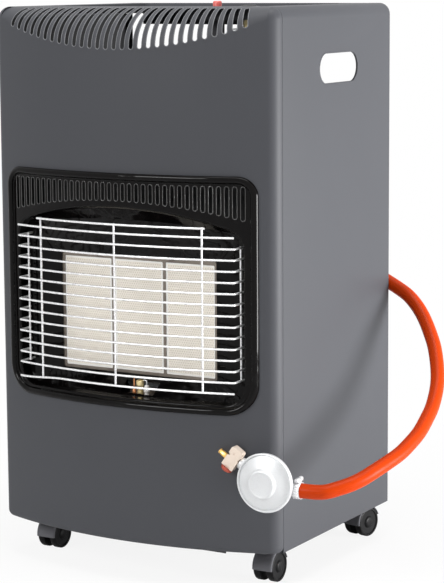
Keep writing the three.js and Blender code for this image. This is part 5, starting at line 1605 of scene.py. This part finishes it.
@dataclass(frozen=True)
class Arch:
    """An outline with an arched top."""

    half: float
    bottom: float
    round_: float
    crown: float
    crown_radius: float
    shoulder: float
    steps: int = 10
    stations: int = 60

    def loop(self, grow: float = 0.0) -> list[Flat]:
        """The outline as (x, z) points, grown outwards."""
        wide, low, foot = self.half + grow, self.bottom - grow, self.round_ + grow
        reach = wide - self.shoulder
        radius = self.crown_radius + grow

        def top(x: float) -> float:
            """The height of the crown."""
            return self.crown + grow - radius + math.sqrt(radius * radius - x * x)

        peak = top(reach) - self.shoulder * reach / math.sqrt(radius * radius - reach * reach)
        side = []
        for i in range(self.steps + 1):
            t = i / self.steps
            a, b, c = (1 - t) ** 2, 2 * t * (1 - t), t * t
            height = a * (peak - self.shoulder) + b * peak + c * top(reach)
            side.append((a * wide + b * wide + c * reach, height))
        shares = [2 * i / self.stations - 1 for i in range(1, self.stations)]
        return [
            *arc(wide - foot, low + foot, foot, -90, 0, self.steps),
            *side,
            *[(-s * reach, top(s * reach)) for s in shares],
            *[(-x, z) for x, z in reversed(side)],
            *arc(foot - wide, low + foot, foot, 180, 270, self.steps),
            *[(s * (wide - foot), low) for s in shares],
        ]


OPENING = Arch(169, 241, 25, 484.5, 500, 22)
LIP = Arch(169, 241, 25, 468, 900, 22)
THROAT = Arch(117, 263, 4, 417, 1e5, 4)


@dataclass(frozen=True)
class Surround:
    """The enamelled surround of the fire, with its rim bead and its vents."""

    half: float = 188.0
    bottom: float = 228.5
    top: float = 528.5
    foot_round: float = 40.0
    top_round: float = 25.0
    loop_steps: int = 60
    face: float = 0.6
    sheet: float = 1.0
    bead_width: float = 10.0
    vents: int = 35
    vent_pitch: float = 9.95
    vent_width: float = 5.0
    vent_top: float = 515.5
    vent_foot: float = 493.0
    vent_radius: float = 740.0
    lip_depth: float = 18.0
    lip_round: float = 3.2

    def loop(self, inset: float) -> list[Flat]:
        """The rim's outline as (x, z) points."""
        half, low, high = self.half - inset, self.bottom + inset, self.top - inset
        foot, top = self.foot_round - inset, self.top_round - inset
        runs = [2 * i / self.loop_steps - 1 for i in range(1, self.loop_steps)]
        return [
            *arc(half - foot, low + foot, foot, -90, 0, 12),
            *arc(half - top, high - top, top, 0, 90, 12),
            *[(-s * (half - top), high) for s in runs],
            *arc(top - half, high - top, top, 90, 180, 12),
            *arc(foot - half, low + foot, foot, 180, 270, 12),
            *[(s * (half - foot), low) for s in runs],
        ]

    @staticmethod
    def bowed(loop: Sequence[Flat], depth: float) -> list[Point]:
        """An outline laid on the bow, sunk behind it by a depth."""
        return [(x, BOW.y(x, depth), z) for x, z in loop]

    def rim(self) -> Solid:
        """The bead round the surround."""
        section = [
            (0.0, -0.3), (0.05, -1.4), (0.4, -2.6), (1.1, -3.7), (2.2, -4.45), (3.6, -4.8), (5.0, -4.8),
            (6.4, -4.45), (7.7, -3.5), (8.6, -2.2), (9.2, -0.8), (9.7, 0.2), (10.6, 0.6), (10.6, 1.6),
            (7.0, 1.6), (6.0, -0.3),
        ]
        return Solid().loft([self.bowed(self.loop(inset), depth) for inset, depth in section], ring=True)

    def vent(self, i: int, grow: float = 0.0) -> list[Flat]:
        """One vent's outline."""
        x = (i - (self.vents - 1) / 2) * self.vent_pitch
        drop = self.vent_radius - math.sqrt(self.vent_radius**2 - x * x)
        half = self.vent_width / 2
        return [
            *arc(x, self.vent_foot - drop + half, half + grow, 180, 360, 10),
            *arc(x, self.vent_top - half, half + grow, 0, 180, 10),
        ]

    def plate(self) -> Solid:
        """The face between the bead and the opening, with its vents."""
        xs = [self.half * (2 * i / 96 - 1) for i in range(97)]
        strip = [(x, BOW.y(x, self.face)) for x in xs]
        strip += [(x, BOW.y(x, self.face + self.sheet)) for x in reversed(xs)]
        made = Solid().prism(strip, Plane.XY, self.bottom, self.top)
        outline = Solid().prism(self.loop(self.bead_width - 0.2), Plane.XZ, -90, 20)
        outer = Solid().prism(rounded_box(-230, 230, 200, 560, 5), Plane.XZ, -80, 10).carve(outline)
        hole = Solid().prism(OPENING.loop(self.lip_round - 0.2), Plane.XZ, -85, 15)
        vents = [Solid().prism(self.vent(i), Plane.XZ, -85, 15) for i in range(self.vents)]
        return made.carve(outer, hole, *vents)

    def lip(self) -> Solid:
        """The rounded edge of the opening, which runs back to the firebox."""
        edge, inner = OPENING, LIP
        outer_rows = []
        for k in range(9):
            a = math.pi / 2 * k / 8
            grow = self.lip_round * (1 - math.sin(a))
            outer_rows.append(self.bowed(edge.loop(grow), self.face + self.lip_round * (1 - math.cos(a))))
        start = self.face + self.lip_round
        for k in range(1, 9):
            share = k / 8
            depth = start + (self.lip_depth - start) * share
            mixed = [between(a, b, share) for a, b in zip(edge.loop(), inner.loop())]
            outer_rows.append(self.bowed(mixed, depth))
        back = [
            self.bowed(inner.loop(self.sheet), self.lip_depth),
            self.bowed(edge.loop(self.sheet), start + self.sheet),
            self.bowed(edge.loop(self.lip_round), self.face + self.sheet),
        ]
        return Solid().loft([*outer_rows, *back], ring=True)

    def build(self, rods: RodTool) -> None:
        """Makes the rim, the face, the lip and the vents' edges."""
        Builder.finish(self.rim(), "surround_rim", Look.ENAMEL, replaces=["fire_surround"], angle=60)
        Builder.finish(self.plate(), "surround_face", Look.ENAMEL, angle=30)
        Builder.finish(self.lip(), "surround_lip", Look.ENAMEL, angle=60)
        lines = [[(x, BOW.y(x, self.face - 0.1), z) for x, z in self.vent(i, 0.3)] for i in range(self.vents)]
        # The vents' lips are coloured grey against the black enamel: a painted highlight along their edges.
        lips = rods.make("vent_lips", lines, 0.5, Look.EDGE_ENAMEL, sides=8, closed=True)
        Builder.dress(lips, Look.EDGE_ENAMEL)


@dataclass(frozen=True)
class Firebox:
    """The enamelled box behind the opening, narrowing to the burner."""

    throat_y: float = -4.0
    front: float = 18.3
    sheet: float = 1.0
    flange: float = 10.0
    rows: int = 10
    peg_x: float = 162.0
    peg_heights: tuple[float, ...] = (439.05, 271.65)
    peg_hole: float = 2.2
    window: tuple[float, float, float, float] = (-12.0, 38.0, -32.0, -12.0)

    def rows_of(self, grow: float) -> list[list[Point]]:
        """Loops from the lip back to the throat."""
        front = Surround.bowed(LIP.loop(grow), self.front + grow)
        back = [(x, self.throat_y + grow, z) for x, z in THROAT.loop(grow)]
        shares = [k / self.rows for k in range(self.rows + 1)]
        return [[between(p, q, share) for p, q in zip(front, back)] for share in shares]

    def solid(self) -> Solid:
        """The narrowing wall, with the pilot's window and the guard's peg holes."""
        made = Solid().loft([*self.rows_of(0.0), *reversed(self.rows_of(self.sheet))], ring=True)
        window = Solid().prism(rounded_box(*self.window, 1.5, 4), Plane.XY, LIP.bottom - 5, THROAT.bottom)
        spots = [(x, z) for x in (-self.peg_x, self.peg_x) for z in self.peg_heights]
        start = BOW.y(self.peg_x, self.front - 0.3)
        pegs = [Solid().prism(circle(x, z, self.peg_hole, 20), Plane.XZ, start, 5) for x, z in spots]
        return made.carve(window, *pegs)

    def back_flange(self) -> Solid:
        """The flange that the burner is screwed to."""
        half, y = THROAT.half + self.flange, self.throat_y
        low, high = THROAT.bottom - self.flange, THROAT.crown + self.flange
        made = Solid().prism(rounded_box(-half, half, low, high, 4), Plane.XZ, y, y + self.sheet)
        return made.carve(Solid().prism(THROAT.loop(), Plane.XZ, y - 5, y + 5))

    def build(self) -> None:
        """Makes the box and its flange."""
        Builder.finish(self.solid(), "firebox_shell", Look.ENAMEL, replaces=["firebox"], angle=42)
        Builder.finish(self.back_flange(), "firebox_flange", Look.SCALED, angle=30)


@dataclass(frozen=True)
class WireGuard:
    """The chromed guard: bowed wires with their ends turned back, on upright stays."""

    radius: float = 1.4
    proud: float = 8.0
    half: float = 162.0
    top: float = 453.0
    pitch: float = 13.95
    count: int = 15
    top_rise: float = 11.0
    top_half: float = 126.0
    stay_x: float = 121.0
    stay_over: float = 1.4
    stay_back: float = 2.4
    side_stay_back: float = 20.0
    side_inset: float = 1.5
    dip: float = 5.0
    bend: float = 5.0
    peg_end: float = 3.0
    return_end: float = -14.2

    def level(self, n: int) -> float:
        """The height of a wire, counted from the top."""
        return self.top - n * self.pitch

    def bowed(self, half: float, z: float, dip: float = 0.0, steps: int = 40) -> list[Point]:
        """A wire along the bow, its left end let down by a dip."""
        line = []
        for i in range(steps + 1):
            x = half * (2 * i / steps - 1)
            t = min(max((-x - half / 2) / (half / 2), 0.0), 1.0)
            line.append((x, BOW.y(x, -self.proud), z - dip * t * t * (3 - 2 * t)))
        return line

    def returned(self, z: float, end: float) -> list[Vector]:
        """A wire whose two ends turn back to a depth."""
        straight = self.half - self.bend
        inner = self.bowed(straight, z)
        right, left = [
            filleted([
                (side * straight, BOW.y(straight, -self.proud), z),
                (side * self.half, BOW.y(self.half, -self.proud), z),
                (side * self.half, end, z),
            ], self.bend, 6)
            for side in (1, -1)
        ]
        return [*reversed(left), *[Vector(p) for p in inner[1:-1]], *right]

    def build(self, rods: RodTool) -> None:
        """Makes the wires in sets that repeat downwards, and the stays."""
        low = self.level(self.count - 1)
        crown = self.top + self.top_rise
        down = (0.0, 0.0, -self.pitch)
        single = [self.bowed(self.top_half, crown), self.bowed(self.half, self.level(0))]
        single.append(self.bowed(self.half, low, self.dip))
        sets = {
            "guard_wires": ([self.returned(self.level(2), self.return_end)], self.count - 4),
            "guard_peg_wires": ([self.returned(self.level(n), self.peg_end) for n in (1, self.count - 2)], 1),
            "guard_end_wires": (single, 1),
            "guard_stays": (self.stays(low, crown), 1),
        }
        for name, (lines, count) in sets.items():
            part = rods.make(name, lines, self.radius, Look.CHROME, count=count, step=down)
            node = ["wire_guard"] if name == "guard_wires" else []
            Builder.dress(part, Look.CHROME, replaces=node, slot="chrome")

    def stays(self, low: float, crown: float) -> list[list[Point]]:
        """The upright wires behind the others."""
        lines, over = [], self.stay_over
        for x in (-self.stay_x, 0.0, self.stay_x):
            y = BOW.y(x, -self.proud) + self.stay_back
            lines.append([(x, y, low - over), (x, y, (low + crown) / 2), (x, y, crown + over)])
        y = BOW.y(self.half, -self.proud) + self.side_stay_back
        for x in (self.side_inset - self.half, self.half - self.side_inset):
            lines.append([(x, y, self.level(self.count - 2) - over), (x, y, self.level(1) + over)])
        return lines


@dataclass(frozen=True)
class Pilot:
    """The pilot flame's burner, its spark electrode and its thermocouple."""

    x: float = 13.0
    y: float = -22.0
    seat: float = 240.0
    spark: float = 10.0
    probe: float = -9.0

    def build(self, rods: RodTool) -> None:
        """Makes the three of them on their bracket."""
        Builder.repaint(Look.SCALED, "pilot_bracket")
        z = self.seat
        hood = [
            (0, 0), (4, 0), (4, 4), (3.4, 4.6), (3.4, 9), (4.2, 9.6), (5.2, 11), (5.4, 15), (5.0, 18),
            (4.0, 19), (3.2, 19), (3.0, 15), (0, 14.5),
        ]
        burner = Solid().lathe(hood, (self.x, self.y, z), sides=36)
        Builder.finish(burner, "pilot_hood", Look.BRASS, replaces=["pilot_burner"])
        sleeve = [
            (0, 0), (2.9, 0), (2.9, 2.5), (2.4, 3), (2.4, 3.6), (3.6, 4.2), (4.1, 5.2), (4.1, 7.2),
            (3.6, 8.2), (2.6, 8.9), (2.6, 9.6), (3.0, 10.2), (3.0, 12), (2.2, 13.2), (1.3, 13.6), (0, 13.6),
        ]
        x = self.x + self.spark
        insulator = Solid().lathe(sleeve, (x, self.y, z), sides=32)
        Builder.finish(insulator, "spark_insulator", Look.PORCELAIN, replaces=["spark_electrode"], angle=50)
        corners = [(x, self.y, z + 13), (x, self.y, z + 19.5), (x - 5, self.y, z + 19.5)]
        wire = rods.make("spark_wire", [filleted(corners, 3, 5)], 0.8, Look.STEEL, sides=10)
        Builder.dress(wire, Look.STEEL)
        probe = [(0, 0), (2.6, 0), (2.6, 6), (2.1, 7), (1.1, 7.6), (1.1, 19), (0.8, 20.5), (0, 21)]
        thermo = Solid().lathe(probe, (self.x + self.probe, self.y, z), sides=28)
        Builder.finish(thermo, "flame_probe", Look.COPPER, replaces=["thermocouple"])


# ---- controls and pipes


@dataclass(frozen=True)
class Controls:
    """The gas valve with its knob, and the igniter with its button."""

    y: float = 60.0
    knob_x: float = 130.0
    knob_radius: float = 18.0
    knob_foot: float = 720.5
    knob_top: float = 736.0
    flutes: int = 24
    button_x: float = 84.0
    button_foot: float = 709.0
    button_top: float = 741.5
    button_radius: float = 5.75
    under: float = 717.9
    valve_top: float = 706.9
    valve_foot: float = 672.9
    valve_bore: float = 4.3
    collar: float = 719.3
    button_seat: float = 702.5

    def knob(self) -> None:
        """The fluted knob with its grip bar."""
        foot, top = self.knob_foot, self.knob_top - 1.5
        sides = self.flutes * 6

        def ring(radius: float, z: float, depth: float) -> list[Point]:
            """A loop with shallow flutes."""
            turns = [2 * math.pi * k / sides for k in range(sides)]
            radii = [radius - depth * (0.5 - 0.5 * math.cos(self.flutes * a)) for a in turns]
            arms = [(r * math.cos(a), r * math.sin(a)) for r, a in zip(radii, turns)]
            return [(self.knob_x + dx, self.y + dy, z) for dx, dy in arms]

        wide = self.knob_radius
        stations = [
            (wide - 0.5, foot, 0), (wide, foot + 0.5, 0), (wide, foot + 2.4, 0),
            (wide - 0.5, foot + 2.9, 0.2), (wide - 0.7, foot + 3.4, 0.9), (wide - 1.6, top - 2.6, 0.9),
            (wide - 2.0, top - 1.2, 0.7), (wide - 2.8, top - 0.4, 0.3), (wide - 4.0, top, 0),
        ]
        body = Solid().loft([ring(*station) for station in stations])
        x = self.knob_x
        grip = rounded_box(x - 3, x + 3, self.y - wide + 2, self.y + wide - 2, 2.5, 6)
        body.prism(grip, Plane.XY, top - 0.5, self.knob_top)
        Builder.finish(body, "knob", Look.KNOB_PLASTIC, "knob", ["control_knob"], edge=0.35, angle=32)
        mark = rounded_box(x - 0.7, x + 0.7, self.y - wide + 3, self.y - wide + 11, 0.6, 4)
        line = Solid().prism(mark, Plane.XY, self.knob_top - 0.3, self.knob_top + 0.12)
        Builder.finish(line, "knob_mark", Look.PORCELAIN, "knob")
        Builder.repaint(Look.BRASS, "valve_spindle")

    def valve(self) -> None:
        """The valve's cast body, with its neck."""
        x, bore, top = self.knob_x, self.valve_bore, self.valve_top
        outline = rounded_box(x - 18, x + 18, self.y - 23, self.y + 23, 4, 6)
        made = Solid().prism(outline, Plane.XY, self.valve_foot, top)
        made = made.carve(Solid().prism(circle(x, self.y, bore, 40), Plane.XY, top - 8, top + 2))
        Builder.finish(
            made, "valve_body", Look.ALLOY, replaces=["gas_valve"], slot="dull_steel", edge=1.2, steps=3
        )
        ring = [(8, 0), (8, 3), (7.4, 3.4), (7.4, 4.2), (8, 4.6), (8, 10.6), (7.6, 11)]
        neck = Solid().lathe([(bore, 0), *ring, (bore, 11), (bore, 0)], (x, self.y, top), sides=40)
        Builder.finish(neck, "valve_neck", Look.BRASS)

    def igniter(self) -> None:
        """The igniter's body under the deck and its button above."""
        low, under, ring, seat = self.under - 60, self.under, self.collar, self.button_seat
        bore = self.button_radius + 0.3
        profile = [
            (0, low), (8, low), (9, low + 1), (9, low + 12), (8.4, low + 12.6), (8.4, low + 14),
            (9, low + 14.6), (9, under), (7.7, under), (7.7, ring), (10.1, ring), (10.3, ring + 0.5),
            (10.3, ring + 1.6), (9.6, ring + 2.4), (8.6, ring + 2.7), (bore + 0.3, ring + 2.7),
            (bore, ring + 2.4), (bore, seat), (0, seat),
        ]
        made = Solid().lathe(profile, (self.button_x, self.y, 0), sides=56)
        node = ["igniter_body"]
        Builder.finish(made, "igniter_case", Look.BLACK_PLASTIC, replaces=node, slot="black_plastic")
        r, foot, top = self.button_radius, self.button_foot, self.button_top
        cap = [
            (0, foot), (r - 0.3, foot), (r, foot + 0.4), (r, top - 2.2), (r - 0.25, top - 1.3),
            (r - 0.9, top - 0.6), (r - 1.9, top - 0.2), (r - 3.4, top), (0, top),
        ]
        made = Solid().lathe(cap, (self.button_x, self.y, 0), sides=48)
        body = "igniter_button"
        Builder.finish(made, "button", Look.RED_PLASTIC, body, [body], "red_plastic", angle=50)

    def build(self) -> None:
        """Makes them all."""
        self.knob()
        self.valve()
        self.igniter()


@dataclass(frozen=True)
class Pipework:
    """The pipes from the valve to the burner and the pilot, the lead, and the hose's elbow."""

    burner: tuple[Point, ...] = (
        (148.3, 54, 682.9), (185, 54, 682.9), (185, 54, 205), (185, 15.4, 205), (70.5, 15.4, 205),
        (70.5, 15.4, 242.9),
    )
    pilot: tuple[Point, ...] = (
        (148.3, 68, 682.9), (197, 68, 682.9), (197, 68, 193), (150, 68, 193), (150, -22, 193), (13, -22, 193),
        (13, -22, 238.2),
    )
    lead: tuple[Point, ...] = (
        (84, 60, 657.6), (84, 60, 610), (173, 62, 540), (173, 62, 217), (138, 62, 217), (138, -22, 217),
        (23, -22, 217), (23, -22, 238.2),
    )
    elbow: Flat = (128.0, 94.0)
    elbow_start: float = 83.3
    elbow_z: float = 686.9
    nozzle_end: float = 632.3
    clamp_z: float = 618.5

    def build(self, rods: RodTool) -> None:
        """Makes the lines and the elbow."""
        lines = (
            ("burner_line", self.burner, 14, 4.0, Look.BRASS, "burner_pipe", "brass"),
            ("pilot_line", self.pilot, 12, 2.0, Look.BRASS, "pilot_pipe", "brass"),
            ("spark_lead", self.lead, 14, 2.0, Look.LEAD, "ignition_lead", "black_plastic"),
        )
        for name, corners, bend, radius, look, node, slot in lines:
            piece = rods.make(name, [filleted(corners, bend)], radius, look, sides=18)
            Builder.dress(piece, look, replaces=[node], slot=slot)
        x, y = self.elbow
        flat = [(0, 0), (7.4, 0), (8, 0.6), (8, 11), (7.8, 12)]
        made = Solid().lathe(flat, (x, self.elbow_start, self.elbow_z), (0, 1, 0), 32)
        high = self.elbow_z - self.nozzle_end
        upright = [
            (0, 0), (4.6, 0), (5.6, 1.2), (6, 2.4), (5.4, 4), (6, 5.4), (5.4, 7), (6, 8.4), (6, 18.4),
            (8, 18.8), (9.2, 19.6), (9.2, 25.4), (8, 26.2), (8, high + 6.6), (7.4, high + 7.8),
            (0, high + 8),
        ]
        made.lathe(upright, (x, y, self.nozzle_end), sides=36)
        Builder.finish(made, "inlet_elbow", Look.BRASS, replaces=["hose_elbow"], slot="brass")
        place = Matrix.Translation((x, y, self.clamp_z)) @ turned(90, "Z")
        BandClamp().place("band_clamp_inlet", place)


# ---- casters


@dataclass(frozen=True)
class Caster:
    """A twin-wheel caster under one corner."""

    corner: str
    x: float
    y: float
    swivel: float
    trail: float = 16.0
    wheel: float = 20.0
    width: float = 10.0
    offset: float = 9.4
    hood_in: float = 21.0
    hood_out: float = 23.4
    half: float = 14.4
    hood_from: float = 20.0
    hood_to: float = 185.0
    plate: Flat = (48.8, 51.8)
    rivets: float = 13.0
    pin: float = 13.8

    @property
    def fork(self) -> Matrix:
        """From the caster's own axes to the cabinet's."""
        return Matrix.Translation((self.x, self.y, 0)) @ turned(self.swivel, "Z")

    def mount(self) -> None:
        """The plate with its four rivets and its stem."""
        made = Solid().prism(rounded_box(-19, 19, -19, 19, 4, 6), Plane.XY, *self.plate)
        head = [(0, -0.9), (1.4, -0.9), (2.4, -0.5), (2.8, 0.2), (0, 0.2)]
        for dx in (-self.rivets, self.rivets):
            for dy in (-self.rivets, self.rivets):
                made.lathe(head, (dx, dy, self.plate[0]), sides=20)
        made.lathe([(0, 41.5), (3.2, 41.5), (4, 42.2), (4, 49), (0, 49)], (0, 0, 0), sides=24)
        made.moved(Matrix.Translation((self.x, self.y, 0)))
        name, node = f"{self.name}_plate", f"caster_{self.corner}_mount"
        Builder.finish(made, name, Look.ZINC, replaces=[node], slot="dull_steel", edge=0.25)

    @property
    def name(self) -> str:
        """The start of its pieces' names."""
        return f"wheelset_{self.corner}"

    def shell(self) -> Solid:
        """The moulded hood with its web and its boss, in the caster's own axes."""
        centre = (self.trail, self.wheel)
        sweep = (self.hood_from, self.hood_to, 40)
        inner = arc(*centre, self.hood_in, self.hood_to, self.hood_from, 40)
        rounding = [(0.0, 1.7), (0.5, 1.0), (1.8, 0.3), (3.9, 0.0)]
        stations = [(run - self.half, fall) for run, fall in rounding]
        stations += [(self.half - run, fall) for run, fall in reversed(rounding)]
        made = Solid().loft([
            [(x, *p) for p in (*arc(*centre, self.hood_out - fall, *sweep), *inner)] for x, fall in stations
        ])
        web = [(self.trail + 2, self.wheel - 3), *arc(*centre, self.hood_in + 1, *sweep)]
        made.prism(web, Plane.YZ, -4, 4)
        made.lathe([(0, -4), (6, -4), (6, 4), (0, 4)], (0, *centre), (1, 0, 0), 32)
        collar = [(0, 40.5), (8.4, 40.5), (9, 41.1), (9, 47.9), (8.4, 48.5), (0, 48.5)]
        return made.lathe(collar, (0, 0, 0), sides=40)

    def disc(self, side: int) -> Solid:
        """One wheel, with its rounded tread, its sunk outer face and its hub closed over the axle."""
        half, r = self.width / 2, self.wheel
        profile = [
            (0, half - 0.45), (2.9, half - 0.45), (2.9, -half), (r - 1.4, -half), (r - 0.5, -half + 0.4),
            (r - 0.05, -half + 1.4), (r, 0), (r - 0.05, half - 1.4), (r - 0.5, half - 0.4), (r - 1.4, half),
            (r - 3.0, half), (r - 3.5, half - 0.7), (r - 3.9, half - 1.5), (8.4, half - 1.8),
            (7.6, half - 1.1), (7.0, half - 0.2), (6.2, half + 0.4), (4.2, half + 0.8), (0, half + 0.95),
        ]
        return Solid().lathe(profile, (side * self.offset, self.trail, r), (side, 0, 0), 64)

    def build(self) -> None:
        """Makes all its pieces on their bodies."""
        body = f"caster_{self.corner}"
        self.mount()
        Builder.finish(
            self.shell().moved(self.fork), f"{self.name}_hood", Look.BLACK_PLASTIC, body,
            [f"{body}_housing"], "black_plastic", edge=0.25, angle=50,
        )
        end = self.pin
        profile = [(0, -end), (2.1, -end), (2.5, 0.4 - end), (2.5, end - 0.4), (2.1, end), (0, end)]
        ends = Solid().lathe(profile, (0, self.trail, self.wheel), (1, 0, 0), 24)
        node = f"{body}_axle"
        Builder.finish(ends.moved(self.fork), f"{self.name}_pin", Look.STEEL, body, [node], "steel")
        for title, side in (("left", -1), ("right", 1)):
            node = f"{body}_wheel_{title}"
            made = self.disc(side).moved(self.fork)
            name = f"{self.name}_disc_{title}"
            Builder.finish(made, name, Look.WHEEL_PLASTIC, node, [node], "black_plastic", angle=36)


CASTERS = (
    Caster("front_left", -168.0, 25.0, 0.0),
    Caster("front_right", 168.0, 25.0, 0.0),
    Caster("rear_left", -168.0, 283.0, 8.0),
    Caster("rear_right", 168.0, 283.0, -12.6),
)


# ---- the heater


@dataclass(frozen=True)
class Heater:
    """The whole heater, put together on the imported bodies."""

    screw_x: float = 204.0
    screw_y: float = 303.0
    screw_heights: tuple[float, ...] = (80.0, 380.0, 690.0)

    def screws(self, scatter: ScatterTool) -> None:
        """The screws down the back edges of the case."""
        head = [(0, 0), (3.6, 0), (3.6, 0.5), (3.1, 1.3), (1.9, 1.9), (0.9, 2.0), (0.9, 1.2), (0, 1.2)]
        pattern = Solid().lathe(head, (0, -SEAM_Y / MM, 0), sides=24).mesh_object("screw_pattern")
        spots = [(x, z) for x in (-self.screw_x, self.screw_x) for z in self.screw_heights]
        places = [((x, self.screw_y, z), (0, 1, 0)) for x, z in spots]
        made = scatter.make("case_screws", pattern, places, Look.ZINC)
        bpy.data.objects.remove(pattern)
        Builder.dress(made, Look.ZINC, slot="steel")

    def build(self) -> None:
        """Makes the camera and the hose first, and then everything else."""
        Studio().camera()
        GasHose().build(Regulator().build())
        Studio().build()
        rods, scatter = RodTool(), ScatterTool()
        FrontPanel().build(rods)
        SidePanels().build()
        TopDeck().build()
        Surround().build(rods)
        Firebox().build()
        WireGuard().build(rods)
        Pilot().build(rods)
        Controls().build()
        Pipework().build(rods)
        for caster in CASTERS:
            caster.build()
        self.screws(scatter)
        Builder.repaint(Look.GRAPHITE, "rear_cover")
        # The heat shield is coloured near black as painted shade behind the vents; the base plate is black
        # paint.
        Builder.repaint(Look.BLACK_PAINT, "base_plate", "heat_shield")
        Builder.repaint(Look.ZINC, "burner_plenum")
        Builder.repaint(Look.SCALED, "burner_frame")
        Builder.repaint(Look.CERAMIC, "plaque_left", "plaque_centre", "plaque_right")
        Builder.repaint(Look.BRASS, "injector_rail")


def main() -> None:
    """Builds the heater."""
    logging.basicConfig(level=logging.INFO, format="%(name)s: %(message)s")
    Heater().build()
    log.info("the heater is whole")


if __name__ == "__main__":
    main()
